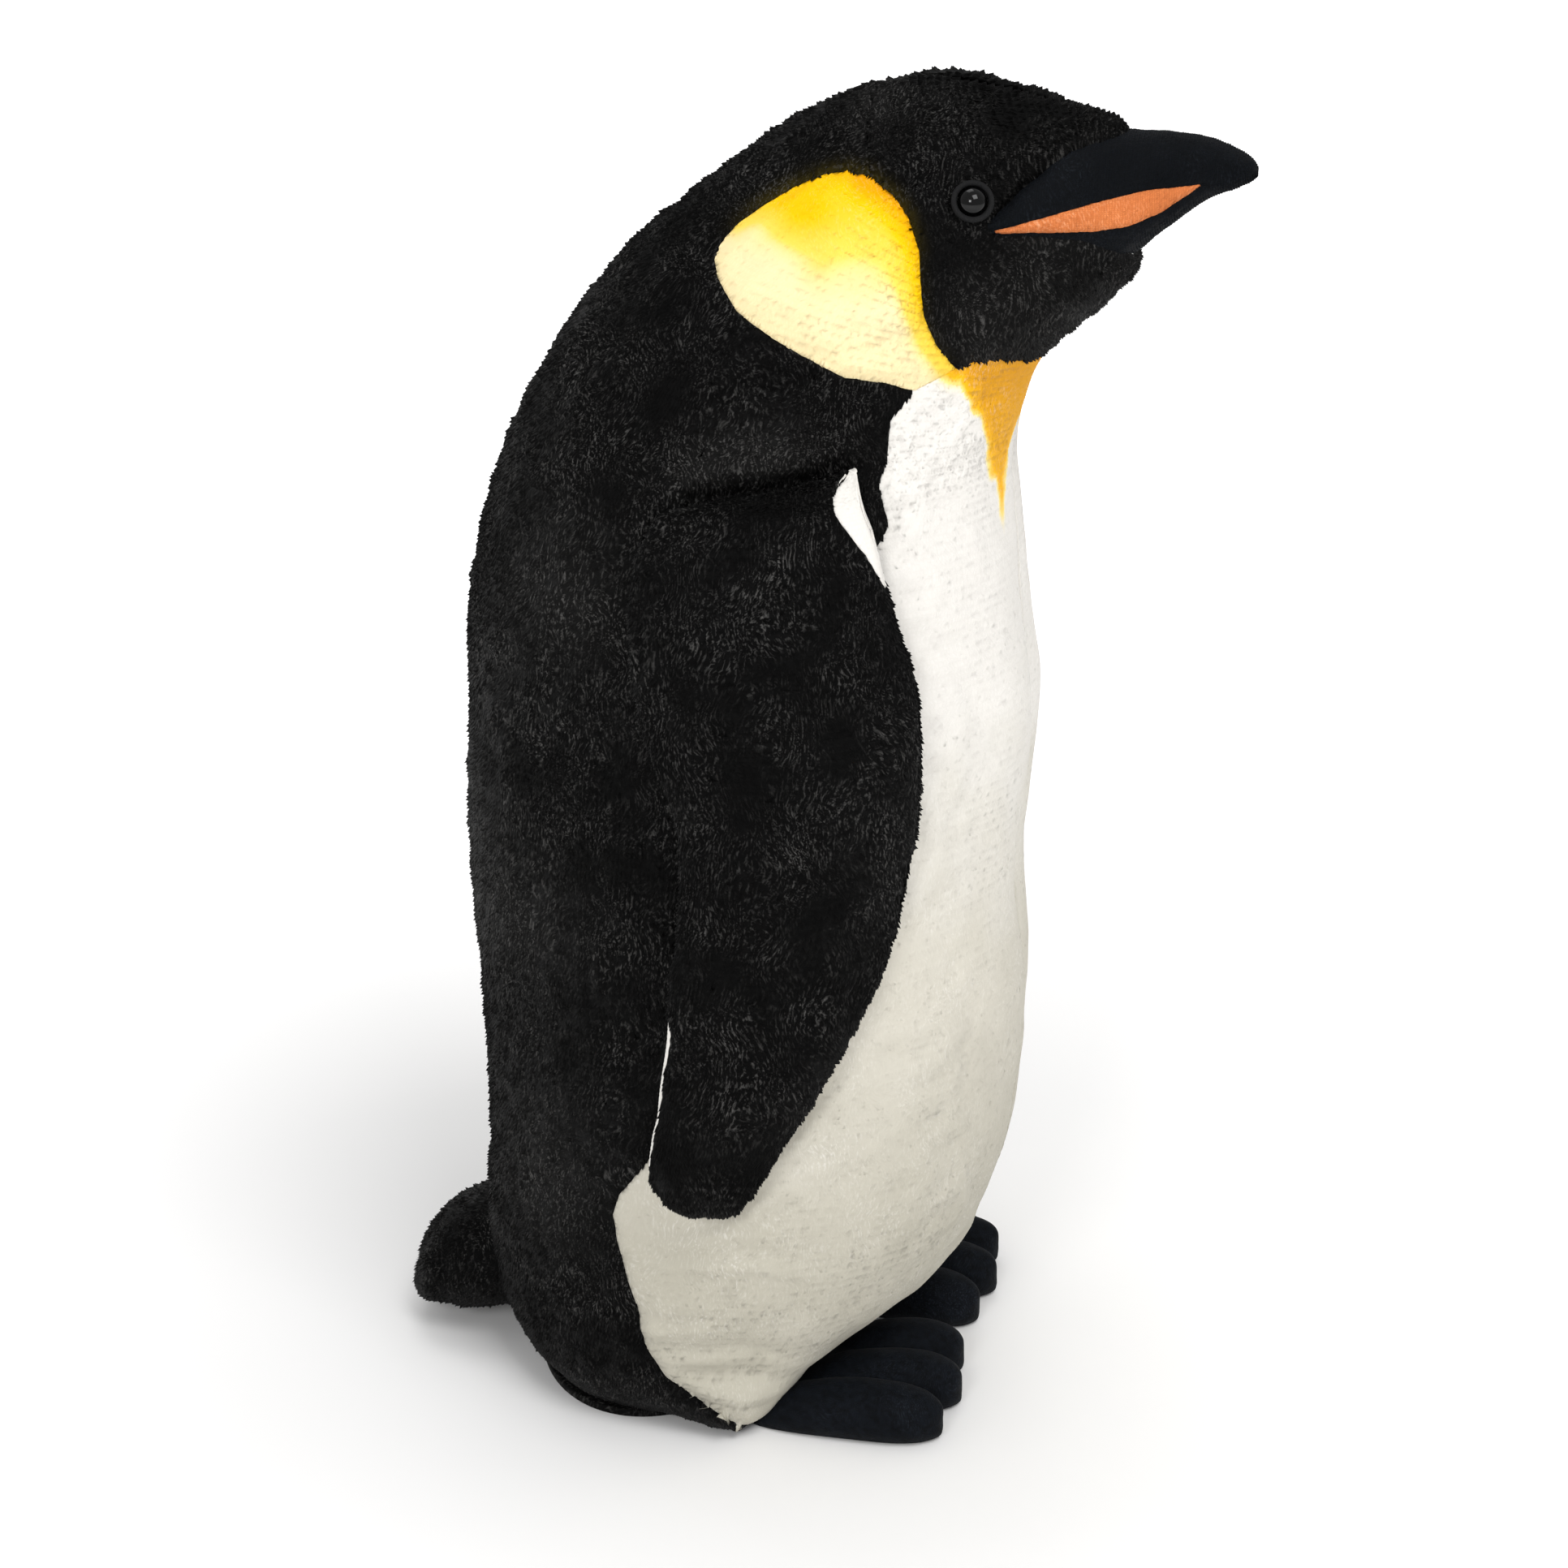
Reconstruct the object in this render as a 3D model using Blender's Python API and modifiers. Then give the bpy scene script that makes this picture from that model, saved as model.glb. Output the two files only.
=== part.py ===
"""Large standing plush penguin: sewn cloth panels, stuffing and small hard parts.

Metres, +Z up. The penguin faces -Y and its own left side is +X. It stands on
the floor at z = 0, and the origin is under the middle of its body.
"""

import math
from typing import NamedTuple

import bmesh
import bpy
from mathutils import Matrix, Vector
from mathutils.bvhtree import BVHTree

# Cloth thicknesses and the air between neighbouring pieces.
PLUSH = 0.004
VELOUR = 0.0025
GAP = 0.0004

# The body stands on a flat cloth disc.
BASE_TOP = PLUSH
BODY_BOTTOM = BASE_TOP + GAP

# Smoothness of the soft forms.
BODY_SIDES = 24
LIMB_SIDES = 12
EYE_STEPS = 16

# Far outside the object, for the outlines of cutting prisms.
FAR = 0.30


class Rib(NamedTuple):
    """One oval section of the body, given where it meets the mid-plane."""

    back_y: float
    back_z: float
    front_y: float
    front_z: float
    half_width: float


# From the floor, up the belly and over the neck to the face.
BODY_RIBS = (
    Rib(0.085, BODY_BOTTOM, -0.035, BODY_BOTTOM, 0.096),
    Rib(0.099, 0.020, -0.058, 0.020, 0.108),
    Rib(0.107, 0.040, -0.095, 0.040, 0.116),
    Rib(0.111, 0.070, -0.121, 0.070, 0.123),
    Rib(0.110, 0.120, -0.139, 0.120, 0.127),
    Rib(0.111, 0.190, -0.1445, 0.190, 0.128),
    Rib(0.1155, 0.255, -0.140, 0.255, 0.126),
    Rib(0.1145, 0.325, -0.145, 0.330, 0.123),
    Rib(0.110, 0.385, -0.139, 0.390, 0.116),
    Rib(0.097, 0.438, -0.1345, 0.440, 0.106),
    Rib(0.070, 0.4915, -0.1375, 0.466, 0.093),
    Rib(0.040, 0.530, -0.1445, 0.486, 0.084),
    Rib(0.002, 0.562, -0.160, 0.503, 0.076),
    Rib(-0.040, 0.592, -0.173, 0.514, 0.064),
    Rib(-0.087, 0.609, -0.181, 0.524, 0.048),
    Rib(-0.130, 0.606, -0.186, 0.530, 0.036),
    Rib(-0.160, 0.5975, -0.187, 0.538, 0.026),
    Rib(-0.177, 0.590, -0.186, 0.555, 0.013),
)

# Seams of the body seen from the side, as (y, z). Each is sewn to its neighbour.
CHEEK_FRONT_SEAM = (
    (-0.077, 0.5826), (-0.0905, 0.5725), (-0.1008, 0.5529),
    (-0.1027, 0.5394), (-0.1046, 0.5225), (-0.1116, 0.5057),
)
THROAT_CORNER = (-0.1185, 0.4985)
CHEEK_TIP = (-0.1016, 0.4870)
CHEEK_BACK_SEAM = (
    (-0.0845, 0.4930), (-0.0604, 0.4975), (-0.0329, 0.5137),
    (-0.0191, 0.5320), (-0.0134, 0.5454), (-0.0245, 0.5629),
    (-0.0432, 0.5755), (-0.0618, 0.5824),
)
THROAT_SEAM = ((-0.132, 0.496), (-0.1453, 0.489), (-FAR, 0.470))
BELLY_SIDE_SEAM = (
    (-0.0907, 0.4770), (-0.0870, 0.4610), (-0.0840, 0.4470),
    (-0.0876, 0.4330), (-0.0830, 0.4145), (-0.0700, 0.3600),
    (-0.0500, 0.2900), (-0.0200, 0.2100), (0.0070, 0.1470),
    (0.0220, 0.1270), (0.0260, 0.1150), (0.0225, 0.0990),
    (0.0190, 0.0870), (0.0136, 0.0710), (0.0110, 0.0500),
    (0.0030, 0.0300), (-0.0150, 0.0180), (-0.0320, 0.0100),
    (-0.0320, -0.0100),
)
CROWN_SEAM = ((-0.072, 0.595), (-0.070, 0.640))

CHEEK_OUTLINE = (*CHEEK_FRONT_SEAM, THROAT_CORNER, CHEEK_TIP, *CHEEK_BACK_SEAM)
BELLY_OUTLINE = (
    THROAT_CORNER, *THROAT_SEAM, (-FAR, -0.0100),
    *reversed(BELLY_SIDE_SEAM), CHEEK_TIP,
)
HOOD_OUTLINE = (
    *reversed(THROAT_SEAM), THROAT_CORNER,
    *reversed(CHEEK_FRONT_SEAM), *CROWN_SEAM, (-FAR, 0.640),
)
SIDE_OUTLINE = ((-FAR, -0.010), (FAR, -0.010), (FAR, 0.640), (-FAR, 0.640))


class Oval(NamedTuple):
    """One upright oval section across a form that runs along Y."""

    y: float
    top: float
    bottom: float
    half_width: float


BEAK_OVALS = (
    Oval(-0.1315, 0.5680, 0.5450, 0.0465),
    Oval(-0.1400, 0.5760, 0.5425, 0.0465),
    Oval(-0.1500, 0.5830, 0.5405, 0.0435),
    Oval(-0.1600, 0.5865, 0.5390, 0.0395),
    Oval(-0.1700, 0.5875, 0.5380, 0.0350),
    Oval(-0.1810, 0.5870, 0.5390, 0.0300),
    Oval(-0.1950, 0.5870, 0.5480, 0.0240),
    Oval(-0.2100, 0.5855, 0.5600, 0.0175),
    Oval(-0.2220, 0.5815, 0.5655, 0.0125),
    Oval(-0.2300, 0.5770, 0.5690, 0.0060),
)
# The orange side stripe of the beak, seen from the side.
STRIPE_TOP = ((-0.100, 0.5500), (-0.1295, 0.5545), (-0.168, 0.5640), (-0.190, 0.5685), (-0.2110, 0.5697))
STRIPE_BOTTOM = ((-0.205, 0.5650), (-0.195, 0.5580), (-0.182, 0.5530), (-0.168, 0.5510), (-0.1295, 0.5530))
MOUTH_FRONT = ((-0.2125, 0.5700), (-0.2200, 0.5600), (-0.2200, 0.5300))

TAIL_OVALS = (
    Oval(0.080, 0.0640, 0.0130, 0.0460),
    Oval(0.110, 0.0630, 0.0055, 0.0465),
    Oval(0.130, 0.0530, 0.0055, 0.0440),
    Oval(0.142, 0.0430, 0.0070, 0.0370),
    Oval(0.149, 0.0320, 0.0120, 0.0230),
)
TAIL_SEAM = ((0.050, 0.0340), (0.110, 0.0335), (0.160, 0.0210))
TAIL_HINGE = (0.0, 0.1125, 0.0635)


class Span(NamedTuple):
    """One section of a flipper, from its trailing to its leading edge."""

    z: float
    trailing_y: float
    leading_y: float
    thickness: float


FLIPPER_SPANS = (
    Span(0.4450, -0.0020, -0.0680, 0.0090),
    Span(0.4300, 0.0070, -0.0830, 0.0150),
    Span(0.3950, 0.0115, -0.1000, 0.0220),
    Span(0.3570, 0.0050, -0.1090, 0.0250),
    Span(0.3170, -0.0100, -0.1100, 0.0260),
    Span(0.2800, -0.0125, -0.1055, 0.0260),
    Span(0.2400, -0.0080, -0.0960, 0.0250),
    Span(0.2020, -0.0050, -0.0790, 0.0240),
    Span(0.1700, 0.0000, -0.0610, 0.0220),
    Span(0.1480, 0.0010, -0.0480, 0.0190),
    Span(0.1350, -0.0060, -0.0390, 0.0140),
    Span(0.1295, -0.0150, -0.0290, 0.0085),
)
FLIPPER_CLEARANCE = 0.0024
FLIPPER_HINGE = (0.1080, 0.0, 0.4450)
FLIPPER_CLOTH = 0.003


class Toe(NamedTuple):
    """A stuffed toe, from under the belly to its tip."""

    heel_x: float
    heel_y: float
    tip_x: float
    tip_y: float


TOES = (
    Toe(0.0850, -0.0320, 0.0860, -0.1215),
    Toe(0.0570, -0.0480, 0.0545, -0.1255),
    Toe(0.0310, -0.0520, 0.0240, -0.1215),
)
TOE_HALF_WIDTH = 0.0155
# How wide and how high a toe is along its length: (fraction, width share, top).
TOE_SHAPE = (
    (0.00, 0.45, 0.0090),
    (0.08, 0.80, 0.0135),
    (0.30, 0.97, 0.0185),
    (0.65, 1.00, 0.0245),
    (0.87, 0.90, 0.0240),
    (0.96, 0.64, 0.0200),
    (1.00, 0.30, 0.0150),
)
TOE_UNDERCUT = 0.003
INSTEP_CENTRE = (0.0560, -0.0700, 0.0050)
INSTEP_RADII = (0.0400, 0.0260, 0.0120)
SOLE = 0.003
FOOT_HINGE = (0.0560, -0.0300, 0.0040)

# A bag of pellets low in the body keeps the toy standing.
PELLET_CENTRE = (0.0, 0.020, 0.0210)
PELLET_RADII = (0.070, 0.048, 0.020)
PELLET_FLOOR = 0.0050

# The eye, with heights measured out from the cloth along its own axis.
EYE_PLACE = (-0.1200, 0.5660)
EYE_RADIUS = 0.0062
EYE_SEAT = 0.0014
EYE_TOP = 0.0068
RIM_INNER = 0.0066
RIM_OUTER = 0.0090
RIM_BACK = 0.0010
RIM_FRONT = 0.0034
SHANK_RADIUS = 0.0020
SHANK_END = -0.0120
HOLE_RADIUS = 0.0024
WASHER_RADIUS = 0.0070
WASHER_FRONT = -0.0052
WASHER_BACK = -0.0066
RECESS_RADIUS = 0.0076
RECESS_END = -0.0140


# ---------------------------------------------------------------- scene setup

for old in list(bpy.data.objects):
    bpy.data.objects.remove(old, do_unlink=True)

penguin = bpy.data.collections.new("plush_penguin")
cutters = bpy.data.collections.new("plush_penguin_cutters")
for group in (penguin, cutters):
    bpy.context.scene.collection.children.link(group)


def material(name, colour, roughness, metallic=0.0):
    """A plain Principled finish."""
    finish = bpy.data.materials.new(name)
    finish.use_nodes = True
    shader = finish.node_tree.nodes["Principled BSDF"]
    shader.inputs["Base Color"].default_value = (*colour, 1.0)
    shader.inputs["Roughness"].default_value = roughness
    shader.inputs["Metallic"].default_value = metallic
    return finish


BLACK_PLUSH = material("black_plush", (0.012, 0.012, 0.013), 0.95)
WHITE_PLUSH = material("white_plush", (0.80, 0.77, 0.72), 0.95)
YELLOW_PLUSH = material("yellow_plush", (0.90, 0.62, 0.12), 0.95)
NAVY_VELOUR = material("navy_velour", (0.012, 0.015, 0.027), 0.90)
ORANGE_VELOUR = material("orange_velour", (0.80, 0.27, 0.08), 0.90)
STUFFING = material("polyester_stuffing", (0.85, 0.85, 0.83), 1.0)
PELLETS = material("pellet_bag_cloth", (0.55, 0.53, 0.48), 0.90)
EYE_PLASTIC = material("eye_plastic", (0.006, 0.006, 0.006), 0.08)
RIM_FELT = material("eye_rim_felt", (0.05, 0.05, 0.052), 0.85)
WASHER_PLASTIC = material("washer_plastic", (0.70, 0.70, 0.68), 0.45)


# ------------------------------------------------------------------- helpers

def place(name, shape, group, finish=None, smooth=True):
    """Turn a bmesh into a named object of one of the two collections."""
    bmesh.ops.recalc_face_normals(shape, faces=shape.faces)
    if shape.calc_volume(signed=True) < 0.0:
        bmesh.ops.reverse_faces(shape, faces=shape.faces)
    mesh = bpy.data.meshes.new(name)
    shape.to_mesh(mesh)
    shape.free()
    for face in mesh.polygons:
        face.use_smooth = smooth
    piece = bpy.data.objects.new(name, mesh)
    group.objects.link(piece)
    if finish:
        mesh.materials.append(finish)
    if group is cutters:
        piece.hide_render = True
        piece.display_type = "WIRE"
    return piece


def cut(piece, cutter, operation="DIFFERENCE"):
    """Put an exact Boolean on a piece."""
    boolean = piece.modifiers.new(cutter.name, "BOOLEAN")
    boolean.operation = operation
    boolean.solver = "EXACT"
    boolean.object = cutter


def oval_ring(shape, sides, centre, across, upward):
    """Add one oval ring of edges and return them."""
    frame = Matrix((across, upward, across.cross(upward))).transposed().to_4x4()
    frame.translation = centre
    made = bmesh.ops.create_circle(shape, segments=sides, radius=1.0, matrix=frame)
    return list({edge for vert in made["verts"] for edge in vert.link_edges})


def loft(rings, sides, close_start=True):
    """Skin a row of (centre, across, upward) ovals, closed at the far end."""
    shape = bmesh.new()
    loops = [oval_ring(shape, sides, *ring) for ring in rings]
    for lower, upper in zip(loops, loops[1:]):
        bmesh.ops.bridge_loops(shape, edges=lower + upper)
    ends = loops[0] + loops[-1] if close_start else loops[-1]
    bmesh.ops.holes_fill(shape, edges=ends, sides=0)
    bmesh.ops.recalc_face_normals(shape, faces=shape.faces)
    bmesh.ops.triangulate(shape, faces=shape.faces)
    return shape


def pushed(shape, distance):
    """Move a closed form's surface outward, or inward where negative."""
    shape.normal_update()
    moves = [(vert, vert.normal * distance) for vert in shape.verts]
    for vert, move in moves:
        vert.co += move
    return shape


def between(before, start, end, after, share):
    """Smooth (Catmull-Rom) value a share of the way from start to end."""
    square = share * share
    cube = square * share
    return 0.5 * (
        2.0 * start
        + (end - before) * share
        + (2.0 * before - 5.0 * start + 4.0 * end - after) * square
        + (3.0 * start - before - 3.0 * end + after) * cube
    )


def softened(stations):
    """Add a smooth station half way between each two."""
    padded = [stations[0], *stations, stations[-1]]
    result = []
    for before, start, end, after in zip(padded, padded[1:], padded[2:], padded[3:]):
        middle = [between(*values, 0.5) for values in zip(before, start, end, after)]
        result += [start, type(start)(*middle)]
    return result + [stations[-1]]


def body_form(close_start=True):
    """The outside of the stuffed body and head."""
    rings = []
    for rib in softened(BODY_RIBS):
        back = Vector((0.0, rib.back_y, rib.back_z))
        front = Vector((0.0, rib.front_y, rib.front_z))
        across = Vector((rib.half_width, 0.0, 0.0))
        rings.append(((back + front) / 2.0, across, (back - front) / 2.0))
    return loft(rings, BODY_SIDES, close_start)


def body_core():
    """The stuffing inside the body's skin: the same form, one cloth further in."""
    shape = pushed(body_form(close_start=False), -PLUSH - GAP)
    rim = [edge for edge in shape.edges if edge.is_boundary]
    bmesh.ops.holes_fill(shape, edges=rim, sides=0)
    return shape


def oval_form(ovals, shrink=0.0, sides=LIMB_SIDES, reach=0.0):
    """A form that runs along Y; reach carries its root on past the first oval."""
    root_way = math.copysign(1.0, ovals[0].y - ovals[-1].y)
    tip = ovals[-1]._replace(y=ovals[-1].y + root_way * shrink)
    stations = [*ovals[:-1], tip]
    if reach:
        stations.insert(0, ovals[0]._replace(y=ovals[0].y + root_way * reach))
    rings = []
    for oval in stations:
        centre = Vector((0.0, oval.y, (oval.top + oval.bottom) / 2.0))
        across = Vector((oval.half_width - shrink, 0.0, 0.0))
        upward = Vector((0.0, 0.0, (oval.top - oval.bottom) / 2.0 - shrink))
        rings.append((centre, across, upward))
    return loft(rings, sides)


def prism(outline, x_from, x_to):
    """Extrude a side-view outline across X."""
    shape = bmesh.new()
    corners = [shape.verts.new((x_from, y, z)) for y, z in outline]
    face = shape.faces.new(corners)
    made = bmesh.ops.extrude_face_region(shape, geom=[face])
    far_side = [item for item in made["geom"] if isinstance(item, bmesh.types.BMVert)]
    bmesh.ops.translate(shape, verts=far_side, vec=(x_to - x_from, 0.0, 0.0))
    return shape


def grown(outline, distance):
    """Move every edge of a closed outline outward by a distance."""
    count = len(outline)
    area = sum(
        outline[i][0] * outline[(i + 1) % count][1] - outline[(i + 1) % count][0] * outline[i][1]
        for i in range(count)
    )
    turn = math.copysign(1.0, area)
    result = []
    for i in range(count):
        here = Vector(outline[i])
        ahead = (Vector(outline[(i + 1) % count]) - here).normalized()
        behind = (here - Vector(outline[i - 1])).normalized()
        outward = Vector((ahead.y + behind.y, -ahead.x - behind.x)) * turn
        outward.normalize()
        lean = outward.dot(Vector((ahead.y, -ahead.x)) * turn)
        corner = here + outward * distance / max(lean, 0.5)
        result.append((corner.x, corner.y))
    return result


def side_prism(name, outline, side, distance, inner_x=GAP / 2.0):
    """A cutting prism over one half of the body."""
    shape = prism(grown(outline, distance), side * inner_x, side * FAR)
    return place(name, shape, cutters)


def cylinder(name, radius, start, end, frame, group=cutters):
    """A round cutter along the local Z of a frame."""
    shape = bmesh.new()
    middle = Matrix.Translation((0.0, 0.0, (start + end) / 2.0))
    bmesh.ops.create_cone(
        shape, cap_ends=True, segments=EYE_STEPS, radius1=radius, radius2=radius,
        depth=abs(end - start), matrix=frame @ middle,
    )
    return place(name, shape, group)


def turned(name, profile, frame, finish, closed=False):
    """Spin an (r, z) profile about the local Z of a frame."""
    shape = bmesh.new()
    points = [shape.verts.new((radius, 0.0, height)) for radius, height in profile]
    for start, end in zip(points, points[1:]):
        shape.edges.new((start, end))
    if closed:
        shape.edges.new((points[-1], points[0]))
    piece = place(name, shape, penguin, finish)
    piece.matrix_world = frame
    screw = piece.modifiers.new("turn", "SCREW")
    screw.axis = "Z"
    screw.steps = EYE_STEPS
    screw.render_steps = EYE_STEPS
    screw.use_merge_vertices = True
    screw.merge_threshold = 0.00001
    screw.use_smooth_shade = True
    return piece


def hinge_empty(name, location):
    """The empty that carries a moving part, on its joint's axis."""
    empty = bpy.data.objects.new(name, None)
    empty.location = location
    empty.empty_display_size = 0.03
    penguin.objects.link(empty)
    return empty


def hang(pieces, empty):
    """Parent pieces to an empty and leave them where they are."""
    for piece in pieces:
        piece.parent = empty
        piece.matrix_parent_inverse = Matrix.Translation(-empty.location)


# ---------------------------------------------------------------------- body

body_shape = body_form()
BODY_TREE = BVHTree.FromBMesh(body_shape)
body_shape.free()


def body_surface(y, z, side=1.0):
    """Point and outward normal where the body's side is at this y and z."""
    point, normal, _, _ = BODY_TREE.ray_cast(Vector((side * FAR, y, z)), Vector((-side, 0.0, 0.0)))
    return point, normal


beak_room = place("beak_room", pushed(oval_form(BEAK_OVALS, sides=18), 2.0 * GAP), cutters)
pellet_room_shape = bmesh.new()
bmesh.ops.create_uvsphere(
    pellet_room_shape, u_segments=20, v_segments=10, radius=1.0,
    matrix=Matrix.Translation(PELLET_CENTRE)
    @ Matrix.Diagonal([radius + GAP for radius in PELLET_RADII]).to_4x4(),
)
pellet_room = place("pellet_room", pellet_room_shape, cutters)


def body_panel(name, outline, side, finish):
    """One plush panel: the part of the body's skin inside a side-view outline."""
    panel = place(name, body_form(close_start=False), penguin, finish)
    skin = panel.modifiers.new("cloth", "SOLIDIFY")
    skin.thickness = PLUSH
    skin.offset = -1.0
    cut(panel, side_prism(name + "_outline", outline, side, -GAP / 2.0), "INTERSECT")
    return panel


def eye_frame(side):
    """Frame with its origin on the cloth at the eye and Z pointing out of it."""
    point, normal = body_surface(*EYE_PLACE, side)
    frame = normal.to_track_quat("Z", "Y").to_matrix().to_4x4()
    frame.translation = point
    return frame


stuffing = place("body_stuffing", body_core(), penguin, STUFFING)
cut(stuffing, beak_room)
cut(stuffing, pellet_room)

for side_name, side in (("left", 1.0), ("right", -1.0)):
    back = body_panel("back_panel_" + side_name, SIDE_OUTLINE, side, BLACK_PLUSH)
    for neighbour, outline in (("belly", BELLY_OUTLINE), ("hood", HOOD_OUTLINE), ("cheek", CHEEK_OUTLINE)):
        room_name = f"{neighbour}_room_{side_name}"
        cut(back, side_prism(room_name, outline, side, GAP / 2.0, inner_x=-GAP))
    body_panel("belly_panel_" + side_name, BELLY_OUTLINE, side, WHITE_PLUSH)
    body_panel("cheek_patch_" + side_name, CHEEK_OUTLINE, side, YELLOW_PLUSH)
    hood = body_panel("hood_" + side_name, HOOD_OUTLINE, side, BLACK_PLUSH)
    cut(hood, beak_room)

    frame = eye_frame(side)
    cut(hood, cylinder("eye_hole_" + side_name, HOLE_RADIUS, -0.010, 0.010, frame))
    cut(stuffing, cylinder("eye_recess_" + side_name, RECESS_RADIUS, RECESS_END, 0.004, frame))
    dome = [
        (EYE_RADIUS * math.sin(angle), EYE_SEAT + (EYE_TOP - EYE_SEAT) * math.cos(angle))
        for angle in (math.radians(18.0 * step) for step in range(6))
    ]
    turned(
        "eye_" + side_name,
        [*dome, (SHANK_RADIUS, EYE_SEAT), (SHANK_RADIUS, SHANK_END), (0.0, SHANK_END)],
        frame, EYE_PLASTIC,
    )
    turned(
        "eye_rim_" + side_name,
        [
            (RIM_INNER, RIM_FRONT), ((RIM_INNER + RIM_OUTER) / 2.0, RIM_FRONT + 0.0006),
            (RIM_OUTER, RIM_FRONT - 0.0008), (RIM_OUTER, RIM_BACK), (RIM_INNER, RIM_BACK),
        ],
        frame, RIM_FELT, closed=True,
    )
    turned(
        "eye_washer_" + side_name,
        [
            (HOLE_RADIUS, WASHER_FRONT), (WASHER_RADIUS, WASHER_FRONT),
            (WASHER_RADIUS, WASHER_BACK), (HOLE_RADIUS, WASHER_BACK),
        ],
        frame, WASHER_PLASTIC, closed=True,
    )

floor_rib = BODY_RIBS[0]
floor_centre = Vector((0.0, (floor_rib.back_y + floor_rib.front_y) / 2.0, 0.0))
floor_half_depth = Vector((0.0, (floor_rib.back_y - floor_rib.front_y) / 2.0, 0.0))
floor_half_width = Vector((floor_rib.half_width, 0.0, 0.0))
base_shape = loft(
    [(floor_centre + Vector((0.0, 0.0, z)), floor_half_width, floor_half_depth) for z in (0.0, BASE_TOP)],
    BODY_SIDES,
)
place("base_panel", base_shape, penguin, BLACK_PLUSH, smooth=False)

pellet_shape = bmesh.new()
bmesh.ops.create_uvsphere(
    pellet_shape, u_segments=20, v_segments=10, radius=1.0,
    matrix=Matrix.Translation(PELLET_CENTRE) @ Matrix.Diagonal(PELLET_RADII).to_4x4(),
)
cutting = bmesh.ops.bisect_plane(
    pellet_shape, geom=[*pellet_shape.verts, *pellet_shape.edges, *pellet_shape.faces],
    plane_co=(0.0, 0.0, PELLET_FLOOR), plane_no=(0.0, 0.0, -1.0), clear_outer=True,
)
rim_edges = [item for item in cutting["geom_cut"] if isinstance(item, bmesh.types.BMEdge)]
bmesh.ops.holes_fill(pellet_shape, edges=rim_edges, sides=0)
place("pellet_bag", pellet_shape, penguin, PELLETS)


# ---------------------------------------------------------------------- beak

beak_core = place(
    "beak_core_room", oval_form(BEAK_OVALS, VELOUR, sides=18, reach=0.005), cutters,
)
beak_filling_shape = pushed(oval_form(BEAK_OVALS, VELOUR, sides=18), -2.0 * GAP)
place("beak_stuffing", beak_filling_shape, penguin, STUFFING)

upper_outline = (*STRIPE_TOP, *MOUTH_FRONT, (-FAR, 0.530), (-FAR, 0.650), (-0.100, 0.650))
lower_outline = (*STRIPE_BOTTOM, (-0.100, 0.5530), (-0.100, 0.500), *reversed(MOUTH_FRONT))
stripe_outline = (*STRIPE_TOP[1:], *STRIPE_BOTTOM)


def beak_panel(name, outline, finish, x_from, x_to):
    """A velour panel of the beak inside a side-view outline."""
    panel = place(name, oval_form(BEAK_OVALS, sides=18), penguin, finish)
    shape = prism(grown(outline, -GAP / 2.0), x_from, x_to)
    cut(panel, place(name + "_outline", shape, cutters), "INTERSECT")
    cut(panel, beak_core)
    return panel


beak_panel("beak_upper", upper_outline, NAVY_VELOUR, -FAR, FAR)
beak_panel("beak_lower", lower_outline, NAVY_VELOUR, -FAR, FAR)
beak_panel("beak_stripe_left", stripe_outline, ORANGE_VELOUR, 0.002, FAR)
beak_panel("beak_stripe_right", stripe_outline, ORANGE_VELOUR, -0.002, -FAR)


# ------------------------------------------------------------------ flippers

def flipper_thickness(z):
    """Thickness of a flipper at a height."""
    for upper, lower in zip(FLIPPER_SPANS, FLIPPER_SPANS[1:]):
        if z >= lower.z:
            share = min(1.0, (z - lower.z) / (upper.z - lower.z))
            return lower.thickness + share * (upper.thickness - lower.thickness)
    return FLIPPER_SPANS[-1].thickness


def drape(shape, side, offset=0.0):
    """Lay a flat flipper shape against the side of the body."""
    for vert in shape.verts:
        point, _ = body_surface(vert.co.y, vert.co.z)
        middle = point.x + FLIPPER_CLEARANCE + flipper_thickness(vert.co.z) / 2.0
        vert.co.x = side * (vert.co.x + middle + offset)
    if side < 0.0:
        bmesh.ops.reverse_faces(shape, faces=shape.faces)
    return shape


def flipper_form(side, shrink=0.0):
    """The flipper, or the room inside its cloth."""
    rings = []
    last = len(FLIPPER_SPANS) - 1
    for index, span in enumerate(FLIPPER_SPANS):
        inward = {0: -shrink, last: shrink}.get(index, 0.0)
        middle = Vector((0.0, (span.trailing_y + span.leading_y) / 2.0, span.z + inward))
        across = Vector((span.thickness / 2.0 - shrink, 0.0, 0.0))
        along = Vector((0.0, (span.trailing_y - span.leading_y) / 2.0 - shrink, 0.0))
        rings.append((middle, across, along))
    return drape(loft(rings, LIMB_SIDES), side)


def flipper_seam(name, side, offset):
    """Cutter that fills the body side of the flipper's edge seam."""
    shape = bmesh.new()
    half_length = 0.172
    frame = Matrix.Translation((0.0, -0.049, 0.287)) @ Matrix.Rotation(math.radians(90.0), 4, "Y")
    bmesh.ops.create_grid(
        shape, x_segments=16, y_segments=8, size=1.0,
        matrix=frame @ Matrix.Diagonal((half_length, 0.068, 1.0, 1.0)),
    )
    drape(shape, side, offset)
    made = bmesh.ops.extrude_face_region(shape, geom=list(shape.faces))
    far_side = [item for item in made["geom"] if isinstance(item, bmesh.types.BMVert)]
    bmesh.ops.translate(shape, verts=far_side, vec=(-side * 0.04, 0.0, 0.0))
    return place(name, shape, cutters)


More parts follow.
